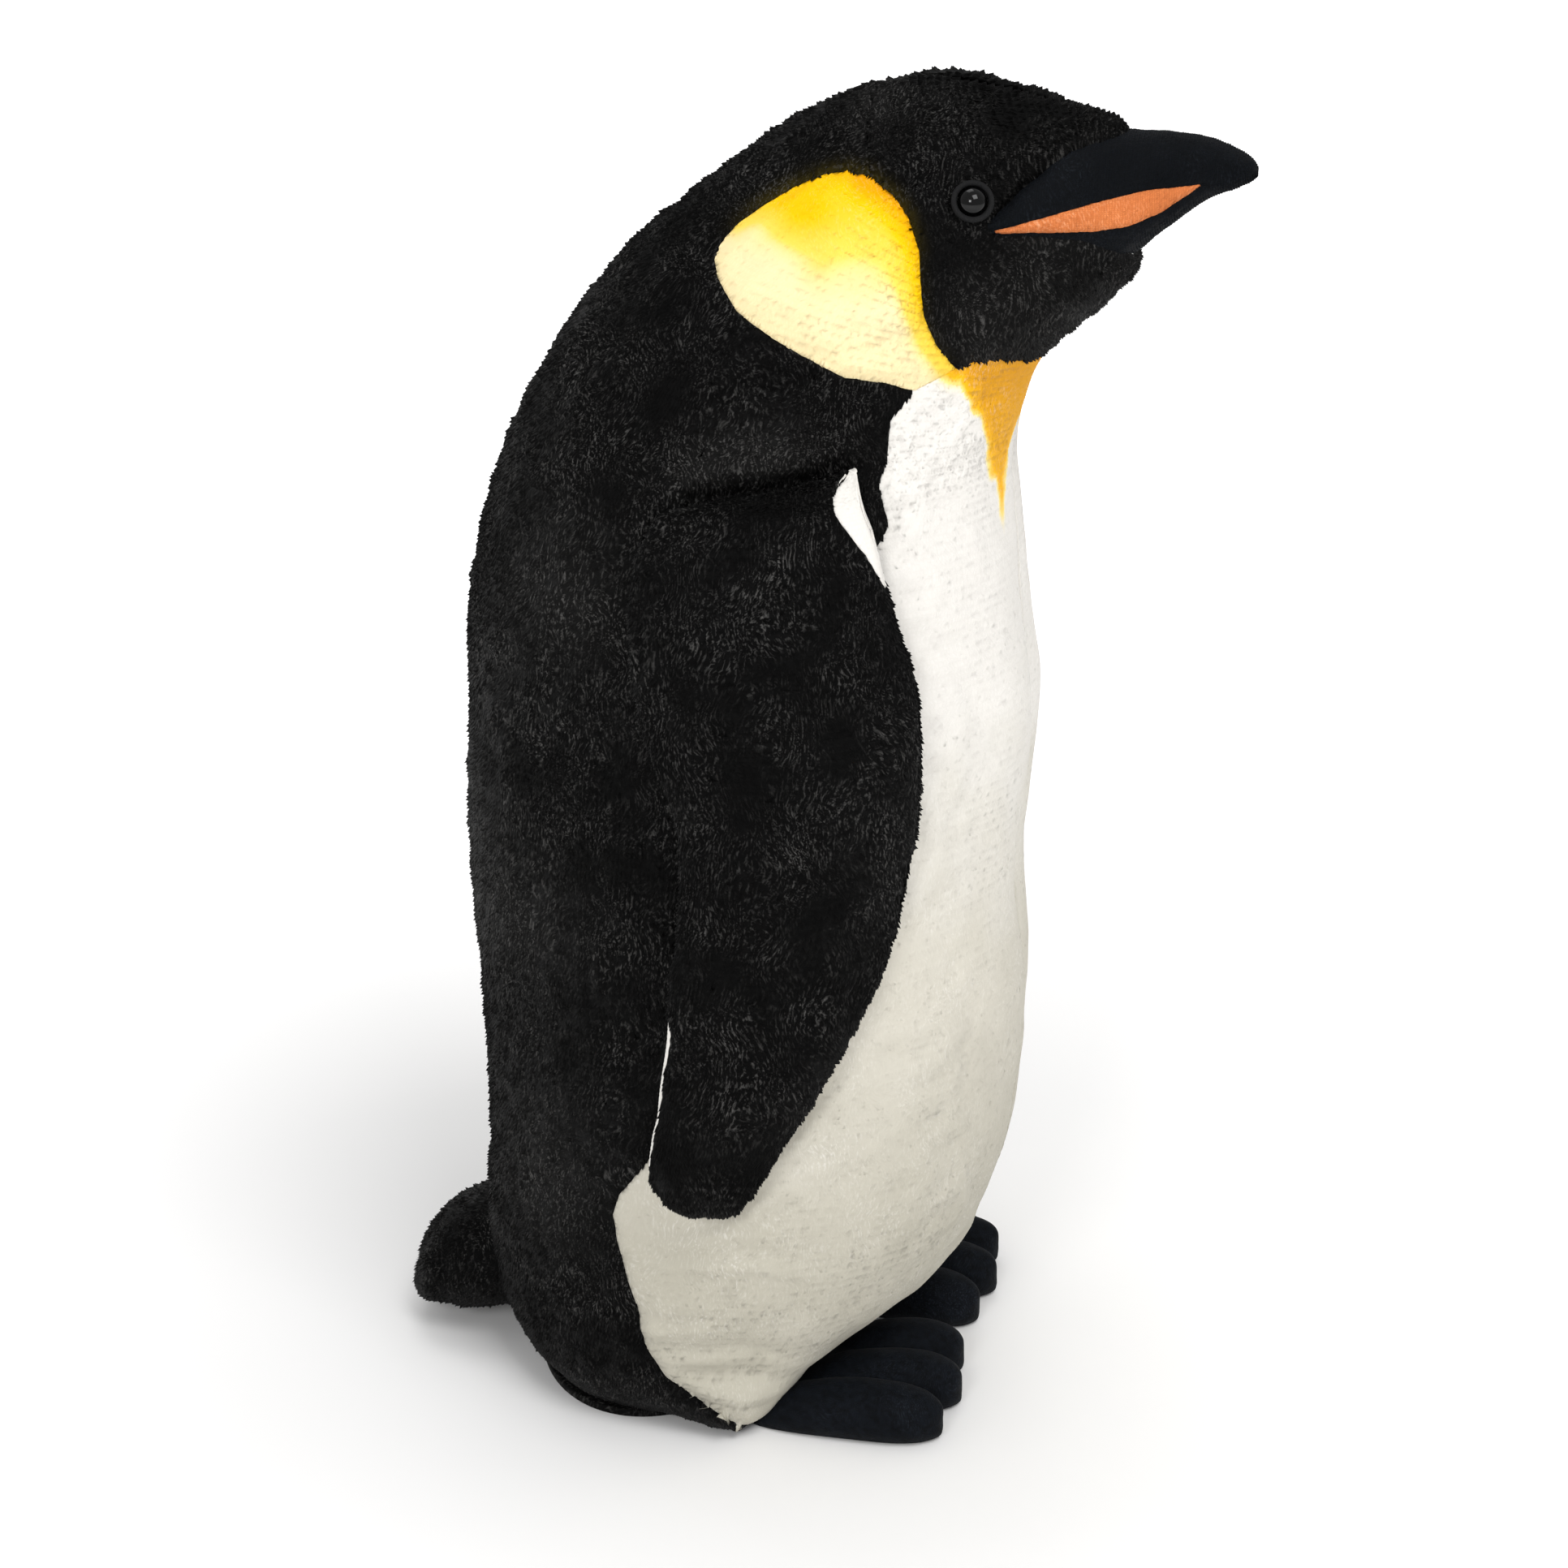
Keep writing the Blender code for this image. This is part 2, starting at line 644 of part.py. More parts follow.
for side_name, side in (("left", 1.0), ("right", -1.0)):
    core = place("flipper_core_" + side_name, flipper_form(side, FLIPPER_CLOTH), cutters)
    outer = place("flipper_outer_" + side_name, flipper_form(side), penguin, BLACK_PLUSH)
    lining = place("flipper_lining_" + side_name, flipper_form(side), penguin, WHITE_PLUSH)
    cut(outer, flipper_seam("flipper_outer_seam_" + side_name, side, GAP / 2.0))
    cut(lining, flipper_seam("flipper_lining_seam_" + side_name, side, -GAP / 2.0), "INTERSECT")
    for cloth in (outer, lining):
        cut(cloth, core)
    filling_shape = pushed(flipper_form(side, FLIPPER_CLOTH), -GAP)
    filling = place("flipper_stuffing_" + side_name, filling_shape, penguin, STUFFING)
    hinge = hinge_empty("flipper_hinge_" + side_name, (side * FLIPPER_HINGE[0], *FLIPPER_HINGE[1:]))
    hang((outer, lining, filling), hinge)


# ---------------------------------------------------------------------- tail

tail_room = place("tail_body_room", pushed(body_form(), GAP), cutters)
tail_core = place("tail_core", oval_form(TAIL_OVALS, FLIPPER_CLOTH, reach=0.005), cutters)
above_seam = (*TAIL_SEAM, (0.160, 0.100), (0.050, 0.100))
below_seam = (*TAIL_SEAM, (0.160, -0.020), (0.050, -0.020))
tail_pieces = []
for name, outline in (("tail_upper", above_seam), ("tail_lower", below_seam)):
    cloth = place(name, oval_form(TAIL_OVALS), penguin, BLACK_PLUSH)
    half = place(name + "_outline", prism(grown(outline, -GAP / 2.0), -0.1, 0.1), cutters)
    cut(cloth, half, "INTERSECT")
    cut(cloth, tail_core)
    cut(cloth, tail_room)
    tail_pieces.append(cloth)
tail_filling_shape = pushed(oval_form(TAIL_OVALS, FLIPPER_CLOTH), -GAP)
tail_filling = place("tail_stuffing", tail_filling_shape, penguin, STUFFING)
cut(tail_filling, tail_room)
hang((*tail_pieces, tail_filling), hinge_empty("tail_hinge", TAIL_HINGE))


# ---------------------------------------------------------------------- feet

def toe_form(toe, side, shrink):
    """One stuffed toe as a row of ovals from heel to tip."""
    heel = Vector((side * toe.heel_x, toe.heel_y, 0.0))
    tip = Vector((side * toe.tip_x, toe.tip_y, 0.0))
    run = tip - heel
    rings = []
    for fraction, width_share, top in TOE_SHAPE:
        trimmed = shrink + fraction * (run.length - 2.0 * shrink)
        centre = heel + run.normalized() * trimmed
        centre.z = (top - TOE_UNDERCUT) / 2.0
        across = Vector((width_share * TOE_HALF_WIDTH - shrink, 0.0, 0.0))
        upward = Vector((0.0, 0.0, (top + TOE_UNDERCUT) / 2.0 - shrink))
        rings.append((centre, across, upward))
    return loft(rings, LIMB_SIDES)


def instep_form(side, shrink):
    """The flat pad that joins the toes under the belly."""
    shape = bmesh.new()
    centre = (side * INSTEP_CENTRE[0], *INSTEP_CENTRE[1:])
    radii = [radius - shrink for radius in INSTEP_RADII]
    bmesh.ops.create_uvsphere(
        shape, u_segments=12, v_segments=8, radius=1.0,
        matrix=Matrix.Translation(centre) @ Matrix.Diagonal(radii).to_4x4(),
    )
    return shape


def foot_form(name, side, shrink, bottom, top, group, finish=None):
    """A whole foot between two heights, with its form shrunk inward."""
    foot = place(name, instep_form(side, shrink), group, finish)
    for number, toe in enumerate(TOES, start=1):
        toe_piece = place(f"{name}_toe_{number}", toe_form(toe, side, shrink), cutters)
        cut(foot, toe_piece, "UNION")
    outline = ((-FAR, bottom), (FAR, bottom), (FAR, top), (-FAR, top))
    slab = place(name + "_slab", prism(outline, -FAR, FAR), cutters)
    cut(foot, slab, "INTERSECT")
    return foot


for side_name, side in (("left", 1.0), ("right", -1.0)):
    upper = foot_form(
        "foot_upper_" + side_name, side, 0.0, SOLE + GAP, 0.05, penguin, NAVY_VELOUR,
    )
    sole = foot_form("foot_sole_" + side_name, side, 0.0, 0.0, SOLE, penguin, NAVY_VELOUR)
    core = foot_form("foot_core_" + side_name, side, VELOUR, -0.01, 0.05, cutters)
    cut(upper, core)
    filling = foot_form(
        "foot_stuffing_" + side_name, side, VELOUR + GAP, SOLE + GAP, 0.05, penguin, STUFFING,
    )
    hinge = hinge_empty("foot_hinge_" + side_name, (side * FOOT_HINGE[0], *FOOT_HINGE[1:]))
    hang((upper, sole, filling), hinge)
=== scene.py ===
"""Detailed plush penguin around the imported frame: pile cloth panels, soft beak, toes and eyes."""

import logging
import math
from dataclasses import dataclass, field
from enum import Enum

import bmesh
import bpy
import numpy as np
from mathutils import Matrix, Vector
from mathutils.bvhtree import BVHTree


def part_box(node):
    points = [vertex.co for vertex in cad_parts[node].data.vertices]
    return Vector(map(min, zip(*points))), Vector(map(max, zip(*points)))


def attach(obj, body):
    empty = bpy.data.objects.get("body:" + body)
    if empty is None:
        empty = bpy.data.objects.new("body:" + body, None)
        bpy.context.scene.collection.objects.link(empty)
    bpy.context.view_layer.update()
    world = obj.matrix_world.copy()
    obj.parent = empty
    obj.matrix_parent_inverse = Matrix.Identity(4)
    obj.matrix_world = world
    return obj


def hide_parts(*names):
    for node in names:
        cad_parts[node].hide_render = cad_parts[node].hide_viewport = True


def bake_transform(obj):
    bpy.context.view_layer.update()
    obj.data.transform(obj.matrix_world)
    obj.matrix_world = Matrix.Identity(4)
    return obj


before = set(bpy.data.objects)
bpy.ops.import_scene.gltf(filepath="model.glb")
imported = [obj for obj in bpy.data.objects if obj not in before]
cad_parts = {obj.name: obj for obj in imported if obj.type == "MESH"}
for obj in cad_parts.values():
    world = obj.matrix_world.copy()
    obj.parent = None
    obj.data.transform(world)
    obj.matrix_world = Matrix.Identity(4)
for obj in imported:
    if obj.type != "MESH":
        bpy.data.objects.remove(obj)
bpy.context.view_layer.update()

LOG = logging.getLogger("penguin")

Points = np.ndarray
Outline = tuple[tuple[float, float], ...]
Colour = tuple[float, float, float]
Stops = tuple[tuple[float, Colour], ...]
Socket = bpy.types.NodeSocket

MM = 0.001


class Side(Enum):
    """Which half of the toy a piece belongs to."""

    LEFT = 1.0
    RIGHT = -1.0

    @property
    def tail(self) -> str:
        """Ending of the names of this side's pieces."""
        return self.name.lower()


class Lay(Enum):
    """Which way the pile of a piece is brushed."""

    DOWN = (0.0, 0.0, -1.0)
    BACKWARD = (0.0, 1.0, -0.25)
    FORWARD = (0.0, -1.0, -0.15)


# Sections of the body from floor to face: (back y, back z, front y, front z, half width).
BODY_RIBS = (
    (0.085, 0.0044, -0.035, 0.0044, 0.096),
    (0.099, 0.020, -0.058, 0.020, 0.108),
    (0.107, 0.040, -0.095, 0.040, 0.116),
    (0.111, 0.070, -0.121, 0.070, 0.123),
    (0.110, 0.120, -0.139, 0.120, 0.127),
    (0.111, 0.190, -0.1445, 0.190, 0.128),
    (0.1155, 0.255, -0.140, 0.255, 0.126),
    (0.1145, 0.325, -0.145, 0.330, 0.123),
    (0.110, 0.385, -0.139, 0.390, 0.116),
    (0.097, 0.438, -0.1345, 0.440, 0.106),
    (0.070, 0.4915, -0.1375, 0.466, 0.093),
    (0.040, 0.530, -0.1445, 0.486, 0.084),
    (0.002, 0.562, -0.160, 0.503, 0.076),
    (-0.040, 0.592, -0.173, 0.514, 0.064),
    (-0.087, 0.609, -0.180, 0.523, 0.048),
    (-0.130, 0.606, -0.1845, 0.5285, 0.036),
    (-0.160, 0.5975, -0.1855, 0.5375, 0.026),
    (-0.177, 0.590, -0.185, 0.555, 0.013),
    (-0.183, 0.582, -0.186, 0.570, 0.001),
)

# A distance well outside the toy, where outlines close and rays start.
FAR = 0.30

# Seams of the body seen from the side, as (y, z).
CHEEK_FRONT_SEAM: Outline = (
    (-0.0767, 0.5762), (-0.0874, 0.5697), (-0.0949, 0.5613), (-0.1006, 0.5484),
    (-0.1024, 0.5334), (-0.1043, 0.5208), (-0.1095, 0.5078),
)
THROAT_CORNER = (-0.1175, 0.4955)
CHEEK_TIP = (-0.1012, 0.4885)
CHEEK_BACK_SEAM: Outline = (
    (-0.0883, 0.4935), (-0.0727, 0.4965), (-0.0569, 0.5045), (-0.0417, 0.5120),
    (-0.0239, 0.5220), (-0.0132, 0.5342), (-0.0099, 0.5407), (-0.0126, 0.5472),
    (-0.0185, 0.5541), (-0.0300, 0.5619), (-0.0434, 0.5699), (-0.0563, 0.5757),
    (-0.0664, 0.5778),
)
THROAT_SEAM: Outline = ((-0.1245, 0.4972), (-0.132, 0.4965), (-0.1453, 0.4900), (-FAR, 0.4710))
BELLY_SIDE_SEAM: Outline = (
    (-0.0920, 0.4780), (-0.0910, 0.4630), (-0.0880, 0.4510),
    (-0.0930, 0.4330), (-0.0850, 0.4180), (-0.0700, 0.3600),
    (-0.0500, 0.2900), (-0.0200, 0.2100), (0.0070, 0.1470),
    (0.0220, 0.1270), (0.0260, 0.1150), (0.0225, 0.0990),
    (0.0190, 0.0870), (0.0136, 0.0710), (0.0110, 0.0520),
    (0.0020, 0.0340), (-0.0150, 0.0245), (-0.0320, 0.0160),
    (-0.0360, -0.0100),
)
CROWN_SEAM: Outline = ((-0.072, 0.595), (-0.070, 0.640))
CHEEK_OUTLINE: Outline = (*CHEEK_FRONT_SEAM, THROAT_CORNER, CHEEK_TIP, *CHEEK_BACK_SEAM)
BELLY_OUTLINE: Outline = (
    THROAT_CORNER, *THROAT_SEAM, (-FAR, -0.0100), *reversed(BELLY_SIDE_SEAM), CHEEK_TIP,
)
HOOD_OUTLINE: Outline = (
    *reversed(THROAT_SEAM), THROAT_CORNER, *reversed(CHEEK_FRONT_SEAM), *CROWN_SEAM, (-FAR, 0.640),
)

# Ovals across the beak and the tail: (y, top, bottom, half width).
BEAK_OVALS = (
    (-0.1190, 0.5600, 0.5480, 0.0520),
    (-0.1315, 0.5680, 0.5440, 0.0535),
    (-0.1400, 0.5760, 0.5415, 0.0510),
    (-0.1500, 0.5830, 0.5390, 0.0462),
    (-0.1600, 0.5865, 0.5370, 0.0405),
    (-0.1700, 0.5875, 0.5355, 0.0352),
    (-0.1810, 0.5870, 0.5365, 0.0300),
    (-0.1950, 0.5870, 0.5480, 0.0240),
    (-0.2100, 0.5855, 0.5600, 0.0175),
    (-0.2220, 0.5815, 0.5655, 0.0125),
    (-0.2295, 0.5775, 0.5690, 0.0070),
    (-0.2320, 0.5740, 0.5715, 0.0005),
)
STRIPE_TOP: Outline = (
    (-0.100, 0.5500), (-0.1295, 0.5545), (-0.168, 0.5640), (-0.190, 0.5685), (-0.2110, 0.5697),
)
STRIPE_BOTTOM: Outline = (
    (-0.205, 0.5650), (-0.195, 0.5580), (-0.182, 0.5530), (-0.168, 0.5510), (-0.1295, 0.5530),
)
MOUTH_FRONT: Outline = ((-0.2125, 0.5700), (-0.2200, 0.5600), (-0.2200, 0.5300))
BEAK_LOWER_OUTLINE: Outline = (
    *STRIPE_BOTTOM, (-0.100, 0.5530), (-0.100, 0.500), *reversed(MOUTH_FRONT),
)
STRIPE_OUTLINE: Outline = (*STRIPE_TOP[1:], *STRIPE_BOTTOM)

TAIL_OVALS = (
    (0.080, 0.0640, 0.0130, 0.0460),
    (0.110, 0.0630, 0.0055, 0.0465),
    (0.130, 0.0530, 0.0055, 0.0440),
    (0.142, 0.0430, 0.0070, 0.0370),
    (0.148, 0.0330, 0.0115, 0.0240),
    (0.150, 0.0240, 0.0200, 0.0010),
)
TAIL_SEAM_HEIGHTS = ((0.050, 0.110, 0.160), (0.0340, 0.0335, 0.0210))

# Sections of a flipper: (z, trailing y, leading y, thickness).
FLIPPER_SPANS = (
    (0.4600, -0.0755, -0.0775, 0.0010),
    (0.4588, -0.0700, -0.0795, 0.0045),
    (0.4560, -0.0600, -0.0805, 0.0065),
    (0.4500, -0.0300, -0.0822, 0.0090),
    (0.4430, -0.0030, -0.0845, 0.0125),
    (0.4300, 0.0085, -0.0893, 0.0160),
    (0.4150, 0.0105, -0.0935, 0.0190),
    (0.3950, 0.0115, -0.0995, 0.0220),
    (0.3570, 0.0050, -0.1090, 0.0250),
    (0.3170, -0.0100, -0.1100, 0.0260),
    (0.2800, -0.0125, -0.1055, 0.0260),
    (0.2400, -0.0080, -0.0960, 0.0250),
    (0.2020, -0.0050, -0.0790, 0.0240),
    (0.1700, 0.0000, -0.0610, 0.0220),
    (0.1480, 0.0010, -0.0480, 0.0190),
    (0.1350, -0.0060, -0.0390, 0.0140),
    (0.1300, -0.0140, -0.0300, 0.0080),
    (0.1285, -0.0210, -0.0230, 0.0010),
)
FLIPPER_TOP_EDGE = FLIPPER_SPANS[:6]
FLIPPER_CLEARANCE = 2.4 * MM

# Where the white lining shows on the flipper's face at its leading shoulder, as (y, z).
LINING_SEAM: Outline = (
    (-0.0735, 0.4560), (-0.0713, 0.4514), (-0.0730, 0.4446), (-0.0792, 0.4363),
    (-0.0860, 0.4262), (-0.0915, 0.4160), (-0.0945, 0.4110),
)
LINING_STRIP: Outline = (*LINING_SEAM, (-0.1300, 0.4110), (-0.1300, 0.4800), (-0.0775, 0.4800))

# Toes: (heel x, heel y, tip x, tip y), and their profile: (fraction, width share, top).
TOES = (
    (0.0850, -0.0320, 0.0860, -0.1215),
    (0.0570, -0.0480, 0.0545, -0.1255),
    (0.0310, -0.0520, 0.0240, -0.1215),
)
TOE_HALF_WIDTH = 15.5 * MM
TOE_SHAPE = (
    (0.00, 0.32, 0.0080),
    (0.08, 0.62, 0.0130),
    (0.25, 0.90, 0.0200),
    (0.50, 1.00, 0.0245),
    (0.72, 1.00, 0.0250),
    (0.87, 0.84, 0.0220),
    (0.96, 0.52, 0.0170),
    (1.00, 0.16, 0.0120),
    (1.004, 0.01, 0.0120),
)
INSTEP_CENTRE = (0.0560, -0.0700, 0.0050)
INSTEP_RADII = (0.0400, 0.0260, 0.0120)
SOLE = 3.0 * MM


# --------------------------------------------------------------------- noise and outlines


def unit(values: Points) -> Points:
    """Hold values between 0 and 1."""
    return np.clip(values, 0.0, 1.0)


@dataclass(frozen=True)
class Unevenness:
    """Smooth seeded unevenness in space, from -1 to 1."""

    seed: int
    cells: int = 32

    def at(self, points: Points, scale: float) -> Points:
        """Value at each point.

        Args:
            points: Positions, one per row.
            scale: Size of one lump, in metres.

        Returns:
            One number per point.
        """
        lattice = np.random.default_rng(self.seed).uniform(-1.0, 1.0, (self.cells,) * 3)
        place = points / scale
        corner = np.floor(place).astype(int)
        share = place - corner
        share = share * share * (3.0 - 2.0 * share)
        total = np.zeros(len(points))
        for step in np.ndindex(2, 2, 2):
            cell = (corner + step) % self.cells
            weight = np.prod(np.where(step, share, 1.0 - share), axis=1)
            total += weight * lattice[cell[:, 0], cell[:, 1], cell[:, 2]]
        return total

    def layered(self, points: Points, scale: float, layers: int = 3) -> Points:
        """Sum of finer and fainter layers.

        Args:
            points: Positions, one per row.
            scale: Size of the largest lumps, in metres.
            layers: How many layers, each half the size of the last.

        Returns:
            One number per point.
        """
        return sum(self.at(points, scale / 2**n) / 2**n for n in range(layers))


@dataclass(frozen=True)
class SideOutline:
    """A closed or open line in the side view, as (y, z) points."""

    points: Outline

    def holds(self, places: Points) -> Points:
        """Whether each place is inside the closed outline.

        Args:
            places: Positions, one (x, y, z) per row.

        Returns:
            One truth value per place.
        """
        y, z = places[:, 1], places[:, 2]
        inside = np.zeros(len(places), bool)
        for (y0, z0), (y1, z1) in zip(self.points, (*self.points[1:], self.points[0])):
            if z0 == z1:
                continue
            crosses = (z0 > z) != (z1 > z)
            inside ^= crosses & (y < (y1 - y0) * (z - z0) / (z1 - z0) + y0)
        return inside

    def nearest(self, places: Points) -> tuple[Points, Points]:
        """Nearest point of the open line in the side view.

        Args:
            places: Positions, one (x, y, z) per row.

        Returns:
            Distances, and the (y, z) steps to the line.
        """
        spots = places[:, 1:3]
        best = np.full(len(places), np.inf)
        steps = np.zeros((len(places), 2))
        for start, end in zip(self.points, self.points[1:]):
            base, run = np.array(start), np.array(end) - np.array(start)
            share = unit(((spots - base) @ run) / (run @ run))
            step = base + share[:, None] * run - spots
            distance = np.linalg.norm(step, axis=1)
            closer = distance < best
            best = np.where(closer, distance, best)
            steps[closer] = step[closer]
        return best, steps


# -------------------------------------------------------------------------- soft forms


@dataclass
class OvalSweep:
    """A soft form swept through a row of ovals."""

    centres: Points
    across: Points
    upward: Points

    @classmethod
    def from_ribs(cls, ribs: tuple[tuple[float, ...], ...]) -> "OvalSweep":
        """The body form, from where its ribs meet the mid-plane."""
        table = np.array(ribs)
        zero = np.zeros(len(table))
        back = np.stack([zero, table[:, 0], table[:, 1]], 1)
        front = np.stack([zero, table[:, 2], table[:, 3]], 1)
        across = np.stack([table[:, 4], zero, zero], 1)
        return cls((back + front) / 2.0, across, (back - front) / 2.0)

    @classmethod
    def from_ovals(cls, ovals: tuple[tuple[float, ...], ...]) -> "OvalSweep":
        """A form that runs along Y, from upright ovals."""
        table = np.array(ovals)
        zero = np.zeros(len(table))
        centres = np.stack([zero, table[:, 0], (table[:, 1] + table[:, 2]) / 2.0], 1)
        across = np.stack([table[:, 3], zero, zero], 1)
        upward = np.stack([zero, zero, (table[:, 1] - table[:, 2]) / 2.0], 1)
        return cls(centres, across, upward)

    def _station(self, values: Points, place: Points) -> Points:
        """Smooth value at a place counted in stations."""
        last = len(values) - 1
        index = np.clip(np.floor(place).astype(int), 0, last - 1)
        share = (place - index)[..., None]
        before = values[np.maximum(index - 1, 0)]
        start = values[index]
        end = values[index + 1]
        after = values[np.minimum(index + 2, last)]
        return 0.5 * (
            2.0 * start
            + (end - before) * share
            + (2.0 * before - 5.0 * start + 4.0 * end - after) * share**2
            + (3.0 * start - before - 3.0 * end + after) * share**3
        )

    def at_stations(self, around: Points, place: Points) -> Points:
        """Points of the form at turns around it and places in stations."""
        angle = (2.0 * np.pi * around)[..., None]
        return (
            self._station(self.centres, place)
            + self._station(self.across, place) * np.cos(angle)
            + self._station(self.upward, place) * np.sin(angle)
        )

    def length_scale(self) -> tuple[Points, Points]:
        """Stations against the length run along the form's flanks."""
        fine = np.linspace(0.0, len(self.centres) - 1.0, 60 * len(self.centres))
        runs = []
        for turn in (0.0, 0.25, 0.75):
            line = self.at_stations(np.full_like(fine, turn), fine)
            runs.append(np.linalg.norm(np.diff(line, axis=0), axis=1))
        length = np.concatenate([[0.0], np.cumsum(np.mean(runs, axis=0))])
        return fine, length

    def points(self, around: Points, along: Points) -> Points:
        """Points of the form.

        Args:
            around: Turns around the form.
            along: Share of the form's length, from 0 to 1.

        Returns:
            One position for each pair.
        """
        fine, length = self.length_scale()
        return self.at_stations(around, np.interp(along * length[-1], length, fine))

    def size(self) -> tuple[float, float]:
        """Largest girth and the length along the flanks, in metres."""
        _, length = self.length_scale()
        turns = np.linspace(0.0, 1.0, 65)
        girths = []
        for station in range(len(self.centres)):
            ring = self.at_stations(turns, np.full_like(turns, float(station)))
            girths.append(np.linalg.norm(np.diff(ring, axis=0), axis=1).sum())
        return max(girths), length[-1]


@dataclass(frozen=True)
class Pile:
    """How the pile of a cloth stands."""

    pitch: float
    height: float
    lean: float
    lay: Lay
    clump: float = 4.5 * MM
    ragged: float = 1.0
    seed: int = 5


PLUSH = Pile(pitch=2.2 * MM, height=1.6 * MM, lean=1.5 * MM, lay=Lay.DOWN)
SHORT_PLUSH = Pile(pitch=2.2 * MM, height=0.45 * MM, lean=0.6 * MM, lay=Lay.DOWN, ragged=0.12, seed=7)
TAIL_PLUSH = Pile(pitch=2.2 * MM, height=1.6 * MM, lean=1.6 * MM, lay=Lay.BACKWARD, seed=9)
VELOUR = Pile(pitch=1.1 * MM, height=0.40 * MM, lean=0.25 * MM, lay=Lay.FORWARD, clump=2.5 * MM)
CLOTH_THICKNESS = 1.8 * MM

# Every other row of a sheet is shifted by this share of a column, so that tufts don't line up.
ROW_SHIFT = 0.25
# A border point moves onto a seam that is within this many pitches.
SNAP_REACH = 1.6
# Below this sideways share of the normal, the sheet faces the mid-plane too little to slide on.
SLIDE_LIMIT = 0.35


@dataclass
class ClothSheet:
    """A fine grid of cloth laid on part of a soft form."""

    form: OvalSweep
    around: tuple[float, float]
    pitch: float
    along: tuple[float, float] = (0.0, 1.0)
    mesh: bpy.types.Mesh = field(init=False)
    columns: int = field(init=False)
    rows: int = field(init=False)
    turns: Points = field(init=False)
    shares: Points = field(init=False)
    chart: Points = field(init=False)
    places: Points = field(init=False)
    quads: Points = field(init=False)
    normals: Points = field(init=False)

    def __post_init__(self) -> None:
        """Lay the grid on the form."""
        girth, length = self.form.size()
        span = self.around[1] - self.around[0]
        self.columns = max(8, round(girth * span / self.pitch))
        self.rows = max(8, round(length * (self.along[1] - self.along[0]) / self.pitch))
        shape = bmesh.new()
        bmesh.ops.create_grid(shape, x_segments=self.columns, y_segments=self.rows, size=1.0)
        self.mesh = bpy.data.meshes.new("sheet")
        shape.to_mesh(self.mesh)
        shape.free()
        flat = np.empty(len(self.mesh.vertices) * 3)
        self.mesh.vertices.foreach_get("co", flat)
        flat = flat.reshape(-1, 3)
        across, up = (flat[:, 0] + 1.0) / 2.0, (flat[:, 1] + 1.0) / 2.0
        odd_row = np.round(up * self.rows).astype(int) % 2 == 1
        inside = (across > 1e-6) & (across < 1.0 - 1e-6)
        across = across + np.where(odd_row & inside, ROW_SHIFT, -ROW_SHIFT * inside) / self.columns
        self.turns = self.around[0] + across * span
        self.shares = self.along[0] + up * (self.along[1] - self.along[0])
        corners = np.empty(len(self.mesh.loops), int)
        self.mesh.loops.foreach_get("vertex_index", corners)
        self.quads = corners.reshape(-1, 4)
        widest = max(girth * span, length)
        chart = np.stack([across * girth * span / widest, up * length / widest], 1)
        self.chart = 0.01 + 0.97 * chart
        self.settle(self.form.points(self.turns, self.shares))

    def settle(self, places: Points) -> None:
        """Move the sheet to new places and refresh its normals.

        Args:
            places: One position per grid point.
        """
        self.places = places
        self.mesh.vertices.foreach_set("co", places.ravel())
        self.mesh.update()
        normals = np.empty(len(places) * 3)
        self.mesh.vertices.foreach_get("normal", normals)
        self.normals = normals.reshape(-1, 3)

    def face_outward(self, middle: Points) -> None:
        """Turn the faces over if they look at the form's middle."""
        outward = np.einsum("ij,ij->i", self.normals, self.places - middle).mean()
        if outward < 0.0:
            self.mesh.flip_normals()
            corners = np.empty(len(self.mesh.loops), int)
            self.mesh.loops.foreach_get("vertex_index", corners)
            self.quads = corners.reshape(-1, 4)
            self.settle(self.places)

    def face_centres(self) -> Points:
        """Middle of each face."""
        return self.places[self.quads].mean(axis=1)

    def label_borders(self, labels: Points) -> Points:
        """Grid points that lie between faces of two panels."""
        low = np.full(len(self.places), 99)
        high = np.full(len(self.places), -99)
        for corner in range(4):
            np.minimum.at(low, self.quads[:, corner], labels)
            np.maximum.at(high, self.quads[:, corner], labels)
        return low != high

    def snap(self, borders: Points, seams: tuple[SideOutline, ...]) -> None:
        """Pull the border points of the panels onto their seam lines.

        Args:
            borders: Which grid points lie between panels.
            seams: The seam lines in the side view.
        """
        spots = self.places[borders]
        best = np.full(len(spots), np.inf)
        move = np.zeros((len(spots), 2))
        for seam in seams:
            distance, step = seam.nearest(spots)
            closer = distance < best
            best = np.where(closer, distance, best)
            move[closer] = step[closer]
        move *= (best < SNAP_REACH * self.pitch)[:, None]
        normals = self.normals[borders]
        lean = np.abs(normals[:, 0])
        slide = -(normals[:, 1] * move[:, 0] + normals[:, 2] * move[:, 1])
        steep = lean > SLIDE_LIMIT
        slide = np.where(steep, slide / np.where(steep, normals[:, 0], 1.0), 0.0)
        share = unit((lean - 0.15) / 0.3)
        spots = spots + np.stack([slide, move[:, 0], move[:, 1]], 1) * share[:, None]
        places = self.places.copy()
        places[borders] = spots
        self.settle(places)

